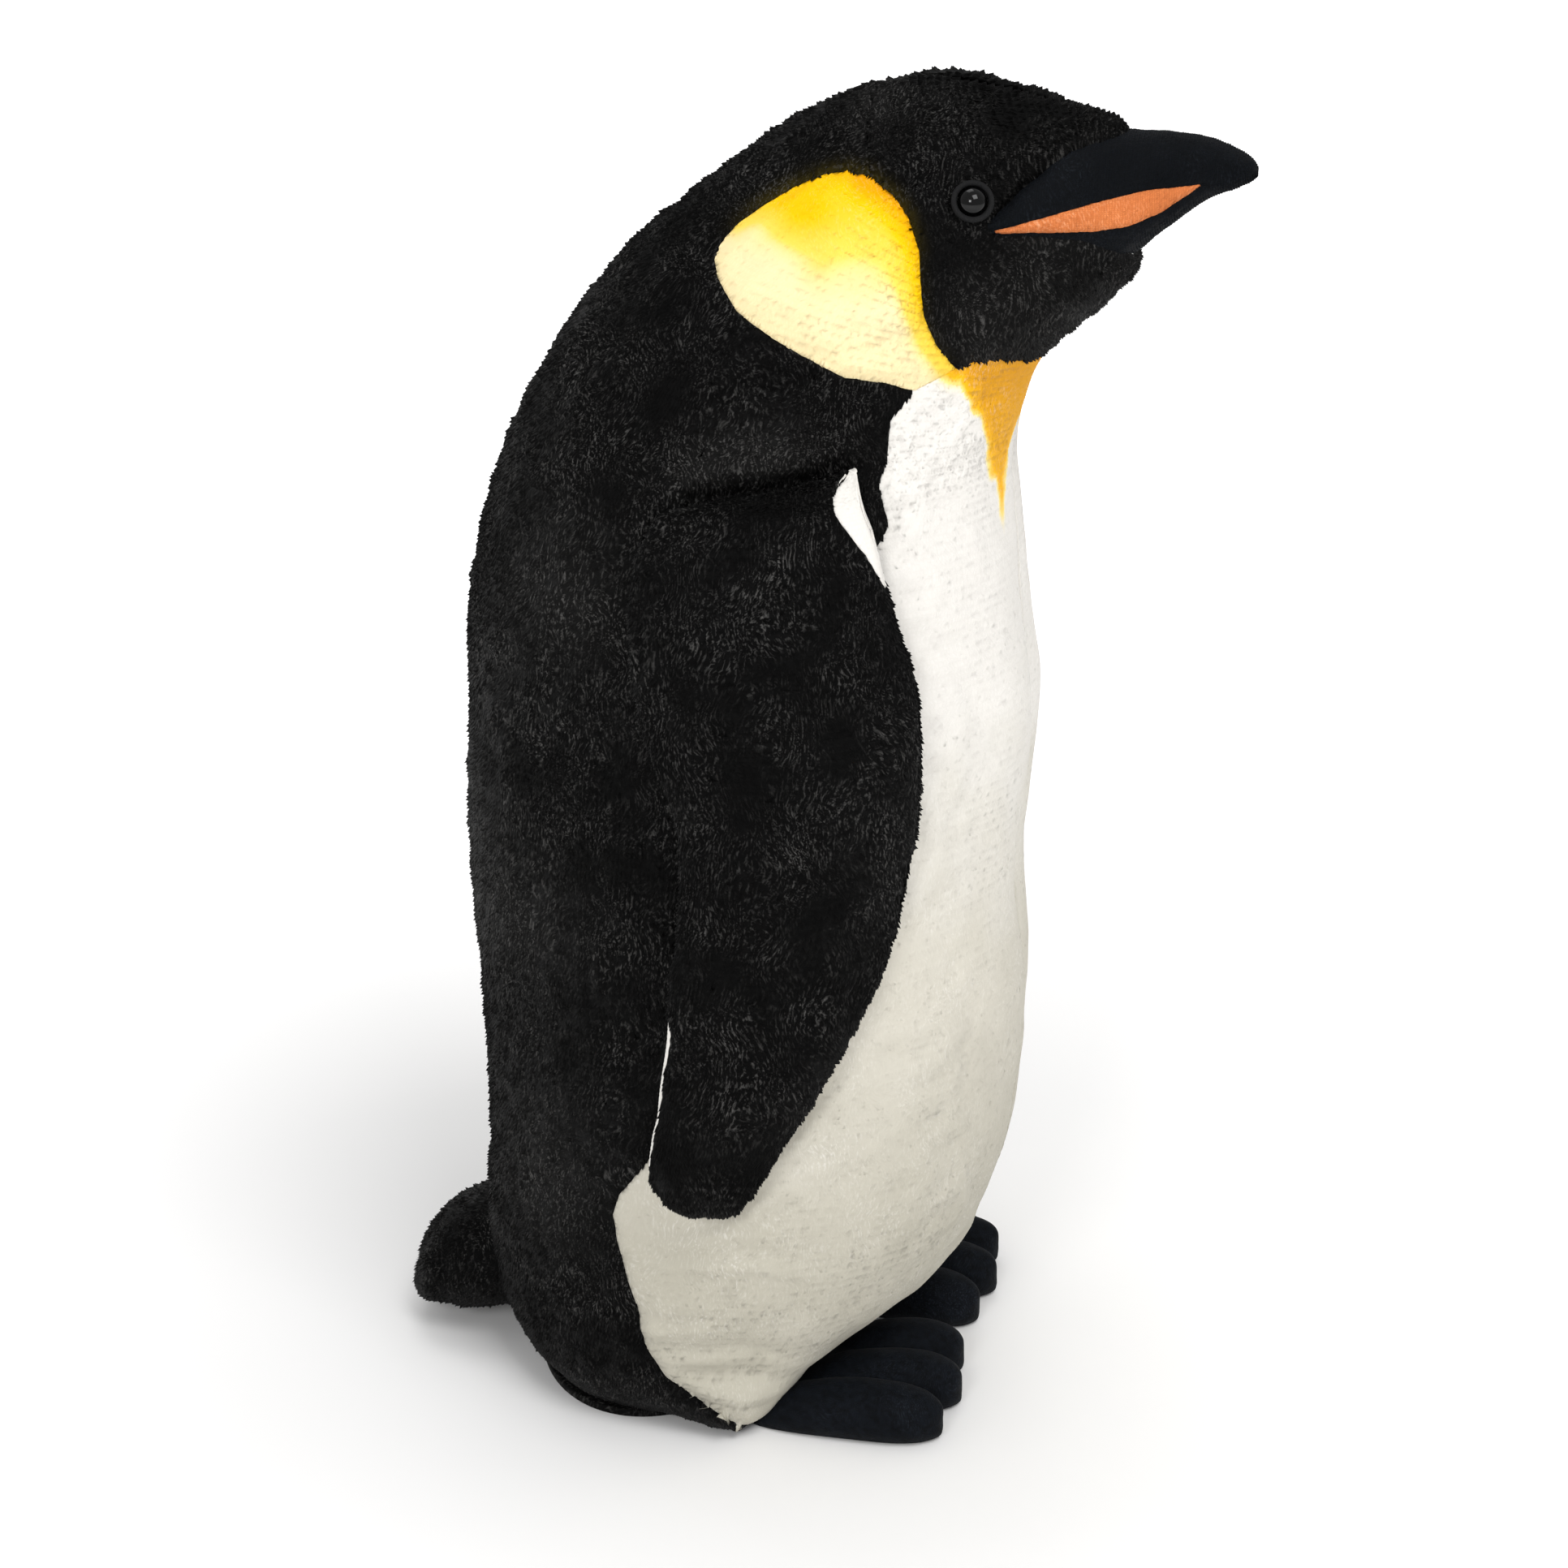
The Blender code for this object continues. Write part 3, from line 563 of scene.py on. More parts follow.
    def cut_panel(
        self,
        name: str,
        kept: Points,
        pile: Pile,
        dyes: dict[str, Points],
        finish: bpy.types.Material,
        thickness: float = CLOTH_THICKNESS,
        fullness: Points | float = 1.0,
    ) -> bpy.types.Object:
        """Cut one panel out of the sheet, give it a back side and grow its pile.

        Args:
            name: Name of the piece.
            kept: Which faces belong to the panel.
            pile: How the pile stands.
            dyes: Named colour masks, one number per grid point.
            finish: The cloth's material.
            thickness: From the cloth's face to its back.
            fullness: Share of the full pile height at each grid point.

        Returns:
            The finished panel.
        """
        shape = bmesh.new()
        shape.from_mesh(self.mesh)
        origin = shape.verts.layers.int.new("grid")
        for vert in shape.verts:
            vert[origin] = vert.index
        gone = [face for face, keep in zip(list(shape.faces), kept) if not keep]
        bmesh.ops.delete(shape, geom=gone, context="FACES")
        front = list(shape.faces)
        grown = bmesh.ops.extrude_face_region(shape, geom=front, use_keep_orig=True)["geom"]
        for vert in grown:
            if isinstance(vert, bmesh.types.BMVert):
                vert.co = vert.co - Vector(self.normals[vert[origin]]) * thickness
                vert[origin] = -1 - vert[origin]
        bmesh.ops.recalc_face_normals(shape, faces=shape.faces)
        tips = bmesh.ops.poke(shape, faces=front)["verts"]
        for vert in tips:
            vert[origin] = len(self.places)
        mesh = bpy.data.meshes.new(name)
        shape.to_mesh(mesh)
        shape.free()
        self._comb(mesh, pile, np.append(np.ones(len(self.places)) * fullness, 0.0))
        self._colour(mesh, dyes)
        mesh.materials.append(finish)
        return link_piece(name, mesh)

    def _comb(self, mesh: bpy.types.Mesh, pile: Pile, fullness: Points) -> None:
        """Raise the pile tips in clumps and lean them along the lay."""
        grid = read(mesh, "grid", int)
        places = read_vectors(mesh, "co")
        normals = read_vectors(mesh, "normal")
        tips = grid == len(self.places)
        roots = (grid >= 0) & ~tips
        full = self._spread(mesh, fullness[np.where(grid >= 0, grid, -1 - grid)], tips)
        draws = np.random.default_rng(pile.seed).normal(0.0, 1.0, (len(places), 3))
        jitter = np.clip(draws, -1.5, 1.5)
        clump = Unevenness(pile.seed + 3).layered(places, pile.clump, 2)
        crush = Unevenness(pile.seed + 2).layered(places, 0.024)
        swirl = Unevenness(pile.seed + 1).layered(places, 0.050) + 0.5 * clump
        lay = np.array(pile.lay.value)
        lay = lay - normals * (normals @ lay)[:, None]
        lay /= np.maximum(np.linalg.norm(lay, axis=1), 1e-6)[:, None]
        side = np.cross(normals, lay)
        comb = lay * np.cos(swirl)[:, None] + side * np.sin(swirl)[:, None]
        tangent = jitter - normals * np.einsum("ij,ij->i", normals, jitter)[:, None]
        uneven = pile.ragged * (0.75 * clump + 0.22 * jitter[:, 0]) + 0.2 * crush
        stand = np.clip(0.75 + uneven, 0.20, 1.9)
        flow = np.clip(1.0 + 0.30 * jitter[:, 1] - 0.4 * crush, 0.1, 1.8)
        base = pile.ragged * np.clip(0.30 * clump, -0.15, 0.35)
        raised = np.where(tips, stand, np.where(roots, base, 0.0)) * pile.height
        swept = np.where(tips, flow * pile.lean, 0.0)
        loose = np.where(tips, 0.22 * pile.height, np.where(roots, 0.10 * pile.pitch, 0.0))
        move = normals * raised[:, None] + comb * swept[:, None] + tangent * loose[:, None]
        mesh.vertices.foreach_set("co", (places + move * full[:, None]).ravel())
        # The tip mask is 0 at the roots and the back and higher on taller clumps; the darker roots it
        # gives are painted shade between the tufts.
        shade = 0.6 + 0.5 * pile.ragged * clump
        write(mesh, "tip", np.where(tips, unit(shade), 0.0))
        mesh.update()

    def _spread(self, mesh: bpy.types.Mesh, table: Points, tips: Points) -> Points:
        """Give each pile tip the mean of the values around its foot.

        Args:
            mesh: The panel.
            table: Values per mesh point.
            tips: Which points are pile tips.

        Returns:
            The table with the tips filled in.
        """
        edges = np.empty(len(mesh.edges) * 2, int)
        mesh.edges.foreach_get("vertices", edges)
        ends = np.vstack([edges.reshape(-1, 2), edges.reshape(-1, 2)[:, ::-1]])
        ends = ends[tips[ends[:, 0]] & ~tips[ends[:, 1]]]
        total, count = np.zeros_like(table), np.zeros(len(table))
        np.add.at(total, ends[:, 0], table[ends[:, 1]])
        np.add.at(count, ends[:, 0], 1.0)
        filled = table.copy()
        filled[tips] = (total[tips].T / count[tips]).T
        return filled

    def _colour(self, mesh: bpy.types.Mesh, dyes: dict[str, Points]) -> None:
        """Write the colour masks and the chart of the cloth's own coordinates."""
        grid = read(mesh, "grid", int)
        tips = grid == len(self.places)
        base = np.where(grid >= 0, grid, -1 - grid) % len(self.places)
        table = self._spread(mesh, np.column_stack([self.chart, *dyes.values()])[base], tips)
        table[grid < 0, 0:2] = 0.002
        for column, name in enumerate(dyes, start=2):
            write(mesh, name, table[:, column])
        chart = mesh.uv_layers.new(name="OFBake")
        corners = np.empty(len(mesh.loops), int)
        mesh.loops.foreach_get("vertex_index", corners)
        chart.data.foreach_set("uv", table[corners, 0:2].ravel())
        mesh.attributes.remove(mesh.attributes["grid"])
        mesh.polygons.foreach_set("use_smooth", np.ones(len(mesh.polygons), bool))
        mesh.update()


def read(mesh: bpy.types.Mesh, name: str, kind: type) -> Points:
    """Values of a point attribute."""
    values = np.empty(len(mesh.vertices), kind)
    mesh.attributes[name].data.foreach_get("value", values)
    return values


def read_vectors(mesh: bpy.types.Mesh, name: str) -> Points:
    """Places or normals of a mesh's points."""
    values = np.empty(len(mesh.vertices) * 3)
    mesh.vertices.foreach_get(name, values)
    return values.reshape(-1, 3)


def write(mesh: bpy.types.Mesh, name: str, values: Points) -> None:
    """Store a number per point on a mesh."""
    layer = mesh.attributes.get(name) or mesh.attributes.new(name, "FLOAT", "POINT")
    layer.data.foreach_set("value", values.astype(np.float32))


def link_piece(name: str, mesh: bpy.types.Mesh) -> bpy.types.Object:
    """Make a scene object of a finished mesh."""
    piece = bpy.data.objects.new(name, mesh)
    bpy.context.scene.collection.objects.link(piece)
    return piece


# ---------------------------------------------------------------------------- finishes


@dataclass
class Nodes:
    """Small helper that adds nodes to a material and joins them."""

    material: bpy.types.Material

    # Sockets of a colour mix: share, first and second colour, and the result.
    MIX_INPUTS = (0, 6, 7)
    MIX_OUTPUT = 2

    @classmethod
    def fresh(cls, name: str) -> "Nodes":
        """Start a material with only its Principled shader."""
        material = bpy.data.materials.new(name)
        material.use_nodes = True
        return cls(material)

    @property
    def shader(self) -> bpy.types.Node:
        """The Principled shader."""
        return self.material.node_tree.nodes["Principled BSDF"]

    def add(self, kind: str, **settings: object) -> bpy.types.Node:
        """Add a node and set its properties."""
        node = self.material.node_tree.nodes.new(kind)
        for key, value in settings.items():
            setattr(node, key, value)
        return node

    def join(self, source: Socket, target: Socket) -> None:
        """Join two sockets."""
        self.material.node_tree.links.new(source, target)

    def mask(self, name: str) -> Socket:
        """A number painted on the mesh."""
        return self.add("ShaderNodeAttribute", attribute_name=name).outputs["Fac"]

    def noise(self, scale: float, detail: float) -> Socket:
        """Noise in object space, as a socket from 0 to 1."""
        place = self.add("ShaderNodeTexCoord")
        mapping = self.add("ShaderNodeMapping")
        noise = self.add("ShaderNodeTexNoise")
        noise.inputs["Scale"].default_value = scale
        noise.inputs["Detail"].default_value = detail
        self.join(place.outputs["Object"], mapping.inputs["Vector"])
        self.join(mapping.outputs["Vector"], noise.inputs["Vector"])
        return noise.outputs["Fac"]

    def ramp(self, source: Socket, stops: Stops) -> Socket:
        """Colours along a number."""
        ramp = self.add("ShaderNodeValToRGB")
        elements = ramp.color_ramp.elements
        while len(elements) < len(stops):
            elements.new(0.5)
        for element, (place, colour) in zip(elements, stops):
            element.position = place
            element.color = (*colour, 1.0)
        self.join(source, ramp.inputs["Fac"])
        return ramp.outputs["Color"]

    def mix(
        self,
        share: "Socket | float",
        first: "Socket | Colour",
        second: "Socket | Colour",
        mode: str = "MIX",
    ) -> Socket:
        """Mix two colours.

        Args:
            share: How much of the second colour.
            first: The first colour, as a socket or plain.
            second: The second colour, as a socket or plain.
            mode: How the second colour acts on the first.

        Returns:
            The mixed colour.
        """
        node = self.add("ShaderNodeMix", data_type="RGBA", blend_type=mode)
        for value, index in zip((share, first, second), self.MIX_INPUTS):
            socket = node.inputs[index]
            if isinstance(value, Socket):
                self.join(value, socket)
            elif isinstance(value, (int, float)):
                socket.default_value = value
            else:
                socket.default_value = (*value, 1.0)
        return node.outputs[self.MIX_OUTPUT]

    def hairs(self, scale: float) -> Socket:
        """Streaks of hair that run down the cloth and wander."""
        place = self.add("ShaderNodeTexCoord").outputs["Object"]
        wander = self.add("ShaderNodeTexNoise")
        wander.inputs["Scale"].default_value = 26.0
        bend = self.add("ShaderNodeVectorMath", operation="MULTIPLY_ADD")
        bend.inputs[1].default_value = (0.030, 0.030, 0.030)
        mapping = self.add("ShaderNodeMapping")
        mapping.inputs["Scale"].default_value = (1.0, 1.0, 0.28)
        streak = self.add("ShaderNodeTexNoise")
        streak.inputs["Scale"].default_value = scale
        streak.inputs["Detail"].default_value = 3.0
        self.join(place, wander.inputs["Vector"])
        self.join(wander.outputs["Color"], bend.inputs[0])
        self.join(place, bend.inputs[2])
        self.join(bend.outputs["Vector"], mapping.inputs["Vector"])
        self.join(mapping.outputs["Vector"], streak.inputs["Vector"])
        return streak.outputs["Fac"]

    def window(self, source: Socket, low: float, high: float) -> Socket:
        """0 below one value, 1 above another."""
        node = self.add("ShaderNodeMapRange", clamp=True)
        node.inputs["From Min"].default_value = low
        node.inputs["From Max"].default_value = high
        self.join(source, node.inputs["Value"])
        return node.outputs["Result"]

    def times(self, first: Socket, second: "Socket | float") -> Socket:
        """Product of two numbers."""
        node = self.add("ShaderNodeMath", operation="MULTIPLY")
        self.join(first, node.inputs[0])
        if isinstance(second, Socket):
            self.join(second, node.inputs[1])
        else:
            node.inputs[1].default_value = second
        return node.outputs[0]

    def grey(self, level: Socket) -> Socket:
        """A grey of a level."""
        node = self.add("ShaderNodeCombineColor")
        for channel in ("Red", "Green", "Blue"):
            self.join(level, node.inputs[channel])
        return node.outputs["Color"]

    def scaled(self, source: Socket, low: float, high: float) -> Socket:
        """Map a 0 to 1 number to another range."""
        node = self.add("ShaderNodeMapRange")
        node.inputs["To Min"].default_value = low
        node.inputs["To Max"].default_value = high
        self.join(source, node.inputs["Value"])
        return node.outputs["Result"]

    def bump(self, height: Socket, strength: float, distance: float) -> None:
        """Bump on the shader's normal."""
        node = self.add("ShaderNodeBump")
        node.inputs["Strength"].default_value = strength
        node.inputs["Distance"].default_value = distance
        self.join(height, node.inputs["Height"])
        self.join(node.outputs["Normal"], self.shader.inputs["Normal"])


@dataclass(frozen=True)
class PlushFinish:
    """Pile cloth: painted shade between the tufts, lighter on them, with painted highlights on streaks of
    hair.
    """

    name: str
    root: Colour
    tip: Colour
    glint: Colour
    glint_share: float
    patch: float
    roughness: float
    sheen: float = 0.0
    specular: float = 0.08
    hair: float = 900.0
    relief: float = 0.7
    # Strength of the painted sheen over the highlight patches.
    haze: float = 0.07
    dyes: tuple[tuple[str, Stops], ...] = ()

    def build(self) -> bpy.types.Material:
        """Make the material."""
        nodes = Nodes.fresh(self.name)
        shader = nodes.shader
        hairs = nodes.hairs(self.hair)
        patches = nodes.noise(34.0, 3.0)
        # Roots take the darker root colour and tips the lighter one: painted shade between the tufts.
        colour = nodes.mix(nodes.mask("tip"), self.root, self.tip)
        for mask, stops in self.dyes:
            share = nodes.scaled(nodes.mask(mask), 0.0, 4.0)
            colour = nodes.mix(share, colour, nodes.ramp(nodes.mask(mask), stops))
        # Hair streaks in noisy patches and in the highlight patches are lightened towards the glint
        # colour: painted highlights.
        streaks = nodes.window(hairs, 0.52, 0.72)
        highlit = nodes.add("ShaderNodeMath", operation="MAXIMUM")
        nodes.join(nodes.window(patches, 0.34, 0.70), highlit.inputs[0])
        nodes.join(nodes.mask("gloss"), highlit.inputs[1])
        lit = nodes.times(streaks, highlit.outputs[0])
        colour = nodes.mix(nodes.times(lit, self.glint_share), colour, self.glint, "LIGHTEN")
        # A faint painted sheen of the glint colour over the highlight patches.
        haze = nodes.times(nodes.mask("gloss"), self.haze * self.glint_share)
        colour = nodes.mix(haze, colour, self.glint, "LIGHTEN")
        tone = nodes.times(
            nodes.scaled(patches, 1.0 - self.patch, 1.0 + self.patch * 0.4),
            nodes.scaled(hairs, 1.0 - self.patch, 1.0 + self.patch),
        )
        nodes.join(nodes.mix(1.0, colour, nodes.grey(tone), "MULTIPLY"), shader.inputs["Base Color"])
        rough = nodes.scaled(hairs, self.roughness - 0.08, self.roughness + 0.08)
        nodes.join(rough, shader.inputs["Roughness"])
        shader.inputs["Sheen Weight"].default_value = self.sheen
        shader.inputs["Sheen Roughness"].default_value = 0.40
        shader.inputs["Specular IOR Level"].default_value = self.specular
        nodes.bump(hairs, self.relief, 0.5 * MM)
        return nodes.material


@dataclass(frozen=True)
class PlasticFinish:
    """Moulded plastic with faint moulding unevenness."""

    name: str
    colour: Colour
    roughness: float
    specular: float = 0.5

    def build(self) -> bpy.types.Material:
        """Make the material."""
        nodes = Nodes.fresh(self.name)
        shader = nodes.shader
        cloudy = nodes.noise(160.0, 2.0)
        dark = tuple(0.8 * value for value in self.colour)
        nodes.join(nodes.mix(cloudy, dark, self.colour), shader.inputs["Base Color"])
        nodes.join(
            nodes.scaled(cloudy, self.roughness * 0.8, self.roughness * 1.2), shader.inputs["Roughness"],
        )
        shader.inputs["Specular IOR Level"].default_value = self.specular
        nodes.bump(cloudy, 0.05, 0.05 * MM)
        return nodes.material


# Plush finishes: root colour (the darker roots are painted shade between the tufts), tip colour, and the
# glint colour and share of the painted highlights, then patch and roughness.
BLACK = PlushFinish(
    "black_plush", (0.0006, 0.0006, 0.0006), (0.0024, 0.0022, 0.0021), (0.115, 0.112, 0.108), 0.75,
    0.30, 0.60, sheen=0.006, specular=0.07,
    dyes=(("halo", ((0.0, (0.002, 0.002, 0.001)), (1.0, (0.150, 0.110, 0.004)))),),
)
WHITE = PlushFinish(
    "white_plush", (0.78, 0.755, 0.71), (0.84, 0.815, 0.78), (0.93, 0.915, 0.89), 0.35,
    0.040, 0.85, sheen=0.08, hair=1100.0, relief=0.38,
    dyes=(
        # Painted shade on the low belly, darker towards the bottom.
        ("warm", ((0.0, (0.80, 0.78, 0.74)), (0.5, (0.64, 0.61, 0.53)), (1.0, (0.50, 0.475, 0.395)))),
        ("throat", (
            (0.0, (0.90, 0.86, 0.76)), (0.22, (0.95, 0.76, 0.26)), (0.50, (0.96, 0.50, 0.012)),
            (1.0, (0.70, 0.31, 0.008)),
        )),
    ),
)
YELLOW = PlushFinish(
    "yellow_plush", (0.92, 0.76, 0.43), (0.95, 0.82, 0.52), (1.0, 0.90, 0.66), 0.15,
    0.030, 0.85, sheen=0.0, specular=0.03, hair=1300.0, relief=0.28,
    dyes=(
        ("cheek", (
            (0.0, (0.95, 0.82, 0.50)), (0.28, (0.96, 0.68, 0.10)), (0.58, (0.96, 0.57, 0.004)),
            (1.0, (0.86, 0.37, 0.002)),
        )),
    ),
)
NAVY = PlushFinish(
    "navy_velour", (0.0018, 0.0024, 0.0034), (0.0046, 0.0062, 0.0092), (0.028, 0.034, 0.044), 0.5,
    0.25, 0.70, sheen=0.012, specular=0.07, hair=1600.0,
)
ORANGE = PlushFinish(
    "orange_velour", (0.60, 0.17, 0.05), (0.95, 0.33, 0.11), (1.0, 0.60, 0.36), 0.6,
    0.16, 0.80, sheen=0.03, hair=1200.0,
)
FILLING = PlushFinish(
    "polyester_stuffing", (0.80, 0.80, 0.78), (0.86, 0.86, 0.84), (0.9, 0.9, 0.9), 0.4,
    0.06, 0.95, hair=500.0,
)
PELLET_CLOTH = PlushFinish(
    "pellet_bag_cloth", (0.50, 0.47, 0.42), (0.56, 0.53, 0.48), (0.6, 0.6, 0.55), 0.2,
    0.08, 0.90, hair=1200.0,
)
FELT = PlushFinish(
    "eye_rim_felt", (0.008, 0.008, 0.008), (0.013, 0.013, 0.0135), (0.05, 0.05, 0.05), 0.3,
    0.2, 0.85, hair=2500.0,
)
EYE = PlasticFinish("eye_plastic", (0.0008, 0.0008, 0.0008), 0.04, specular=0.28)
WASHER = PlasticFinish("washer_plastic", (0.70, 0.70, 0.68), 0.4)


@dataclass
class Wardrobe:
    """All finishes, each built once."""

    made: dict[str, bpy.types.Material] = field(default_factory=dict)

    def take(self, finish: PlushFinish | PlasticFinish) -> bpy.types.Material:
        """The material of a finish."""
        if finish.name not in self.made:
            self.made[finish.name] = finish.build()
        return self.made[finish.name]


# ------------------------------------------------------------------------ sub-assemblies


# Colour masks: airbrushed dyes, plus painted shade on the low belly and painted highlight patches.
DYES_AND_PAINTED_LIGHT = ("cheek", "throat", "warm", "halo", "gloss")


class PanelKind(Enum):
    """Panels of one half of the body."""

    BACK = 0
    BELLY = 1
    HOOD = 2
    CHEEK = 3
    NONE = -1


@dataclass
class Stuffing:
    """Filling that swells a cover between its pinned seams, as a cloth simulation."""

    pitch: float = 9.0 * MM
    frames: int = 20
    pressure: float = 4.0
    vertex_mass: float = 0.002
    slack: float = -0.02
    most: float = 5.0 * MM

    def swell(self, sheet: ClothSheet, cage: ClothSheet, held: Points) -> Points:
        """Let the filling push a coarse cage and carry its movement to the fine sheet.

        Args:
            sheet: The fine sheet.
            cage: A coarse sheet of the same form and turns.
            held: Which points of the cage are sewn down.

        Returns:
            One movement per point of the fine sheet.
        """
        holder = link_piece("cage", cage.mesh)
        pins = holder.vertex_groups.new(name="pins")
        pins.add(np.flatnonzero(held).tolist(), 1.0, "REPLACE")
        cloth = holder.modifiers.new("filling", "CLOTH").settings
        cloth.quality = 6
        cloth.mass = self.vertex_mass
        cloth.use_pressure = True
        cloth.uniform_pressure_force = self.pressure
        cloth.shrink_min = self.slack
        cloth.effector_weights.gravity = 0.0
        cloth.vertex_group_mass = pins.name
        scene = bpy.context.scene
        scene.frame_start = 1
        scene.frame_end = self.frames
        for moment in range(1, self.frames + 1):
            scene.frame_set(moment)
        swollen = holder.evaluated_get(bpy.context.evaluated_depsgraph_get()).to_mesh()
        moved = read_vectors(swollen, "co") - cage.places
        bpy.data.objects.remove(holder)
        scene.frame_set(1)
        outward = np.einsum("ij,ij->i", moved, cage.normals)
        LOG.info("filling moves the cover by %.1f mm at most", outward.max() / MM)
        outward = np.clip(outward, 0.0, self.most)
        return self._carried(sheet, cage, cage.normals * outward[:, None])

    def _carried(self, sheet: ClothSheet, cage: ClothSheet, moved: Points) -> Points:
        """Movement of the cage read at the points of the fine sheet."""
        rows, columns = cage.rows, cage.columns
        row_of = np.round(cage.shares * rows).astype(int)
        order = np.lexsort((cage.turns, row_of))
        table = moved[order].reshape(rows + 1, columns + 1, 3)
        place = sheet.shares * rows
        low_row = np.clip(np.floor(place).astype(int), 0, rows - 1)
        across = (sheet.turns - cage.around[0]) / (cage.around[1] - cage.around[0]) * columns
        levels = []
        for row in (low_row, low_row + 1):
            column = np.clip(across - np.where(row % 2 == 1, ROW_SHIFT, -ROW_SHIFT), 0.0, columns - 1e-6)
            left = column.astype(int)
            share = (column - left)[:, None]
            levels.append(table[row, left] * (1.0 - share) + table[row, left + 1] * share)
        share = (place - low_row)[:, None]
        return levels[0] * (1.0 - share) + levels[1] * share


@dataclass
class BodyCover:
    """The plush skin of body and head, cut into panels along its seams."""

    wardrobe: Wardrobe
    pile: Pile = PLUSH
    sunk: float = 2.0 * MM
    seam_depth: float = 1.3 * MM
    seam_width: float = 3.5 * MM
    roll_height: float = 13.0 * MM
    crease_depth: float = 1.5 * MM
    dye_edge: float = 0.007
    fill: float = 0.9
    stuffing: Stuffing = field(default_factory=Stuffing)
    form: OvalSweep = field(default_factory=lambda: OvalSweep.from_ribs(BODY_RIBS))

    SEAMS = tuple(
        SideOutline(line) for line in (
            (*CHEEK_FRONT_SEAM, THROAT_CORNER, CHEEK_TIP, *CHEEK_BACK_SEAM, CHEEK_FRONT_SEAM[0]),
            (THROAT_CORNER, *THROAT_SEAM),
            (CHEEK_TIP, *BELLY_SIDE_SEAM),
            (CHEEK_FRONT_SEAM[0], *CROWN_SEAM),
        )
    )
    # Soft folds by the hip and the foot: (y, z, half length, slope, height).
    FOLDS = (
        (-0.020, 0.098, 0.045, 0.10, 1.3 * MM),
        (-0.005, 0.062, 0.030, 0.05, 1.1 * MM),
        (-0.018, 0.046, 0.036, 0.12, 1.4 * MM),
        (-0.030, 0.031, 0.030, 0.30, 1.6 * MM),
        (-0.045, 0.130, 0.040, -0.60, 1.0 * MM),
        (-0.065, 0.165, 0.040, -0.90, 1.0 * MM),
        (-0.100, 0.330, 0.030, 3.00, 0.8 * MM),
        (-0.113, 0.300, 0.035, -6.00, 0.9 * MM),
        (-0.095, 0.420, 0.020, -1.20, 0.8 * MM),
    )

    # Patches where highlights are painted on the pile: (y, z, reach).
    GLOSSY = (
        (-0.042, 0.462, 0.018), (-0.020, 0.458, 0.015), (-0.125, 0.520, 0.018),
        (-0.150, 0.535, 0.015), (0.050, 0.400, 0.030), (-0.075, 0.600, 0.012),
        (0.080, 0.250, 0.040), (0.060, 0.120, 0.030),
    )

    # Reach of the throat's airbrushed colour from the mid-plane: (heights, distances).
    DYE_OUTER = (
        (0.412, 0.432, 0.454, 0.474, 0.4854, 0.496),
        (0.026, 0.0310, 0.0385, 0.0485, 0.0560, 0.0625),
    )
    DYE_INNER = (
        (0.412, 0.432, 0.449, 0.460, 0.470),
        (0.026, 0.0180, 0.0130, 0.0020, -0.0200),
    )

    def build(self) -> list[bpy.types.Object]:
        """Make the eight panels.

        Returns:
            The finished panels.
        """
        return [panel for side in Side for panel in self._half(side)]

    def _half(self, side: Side) -> list[bpy.types.Object]:
        """Make the four panels of one side."""
        around = (-0.25, 0.25) if side is Side.LEFT else (0.25, 0.75)
        sheet = ClothSheet(self.form, around, self.pile.pitch)
        sheet.face_outward(self._middle(sheet.places))
        centres = sheet.face_centres()
        labels = np.full(len(centres), PanelKind.BACK.value)
        outlines = {
            PanelKind.BELLY: BELLY_OUTLINE,
            PanelKind.HOOD: HOOD_OUTLINE,
            PanelKind.CHEEK: CHEEK_OUTLINE,
        }
        for kind, outline in outlines.items():
            labels[SideOutline(outline).holds(centres)] = kind.value
        whole = labels.copy()
        in_beak = (self._beak_level(centres) < 0.72) & (centres[:, 1] < BEAK_OVALS[1][0])
        labels[(labels == PanelKind.HOOD.value) & in_beak] = PanelKind.NONE.value
        sheet.snap(sheet.label_borders(whole), self.SEAMS)
        rest = sheet.places.copy()
        beak = self._beak_level(rest)
        outward = self._shape(rest, sheet, side, beak)
        swell = self._swell(sheet, around)
        sheet.settle(rest + swell + sheet.normals * outward[:, None] + self._skirt(rest, side))
        dyes = self._dyes(rest)
        by_beak = unit((beak - 1.15) / 0.6)
        low = unit((rest[:, 2] - 0.010) / 0.020)
        fullness = (0.15 + 0.85 * by_beak) * (0.35 + 0.65 * low)
        looks = {
            PanelKind.BACK: ("back_panel", BLACK, self.pile),
            PanelKind.BELLY: ("belly_panel", WHITE, SHORT_PLUSH),
            PanelKind.HOOD: ("hood", BLACK, self.pile),
            PanelKind.CHEEK: ("cheek_patch", YELLOW, SHORT_PLUSH),
        }
        panels = []
        for kind, (name, finish, pile) in looks.items():
            node = f"{name}_{side.tail}"
            panel = sheet.cut_panel(
                node + "_plush", labels == kind.value, pile, dyes, self.wardrobe.take(finish),
                fullness=fullness,
            )
            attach(panel, "torso")
            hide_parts(node)
            panels.append(panel)
        return panels

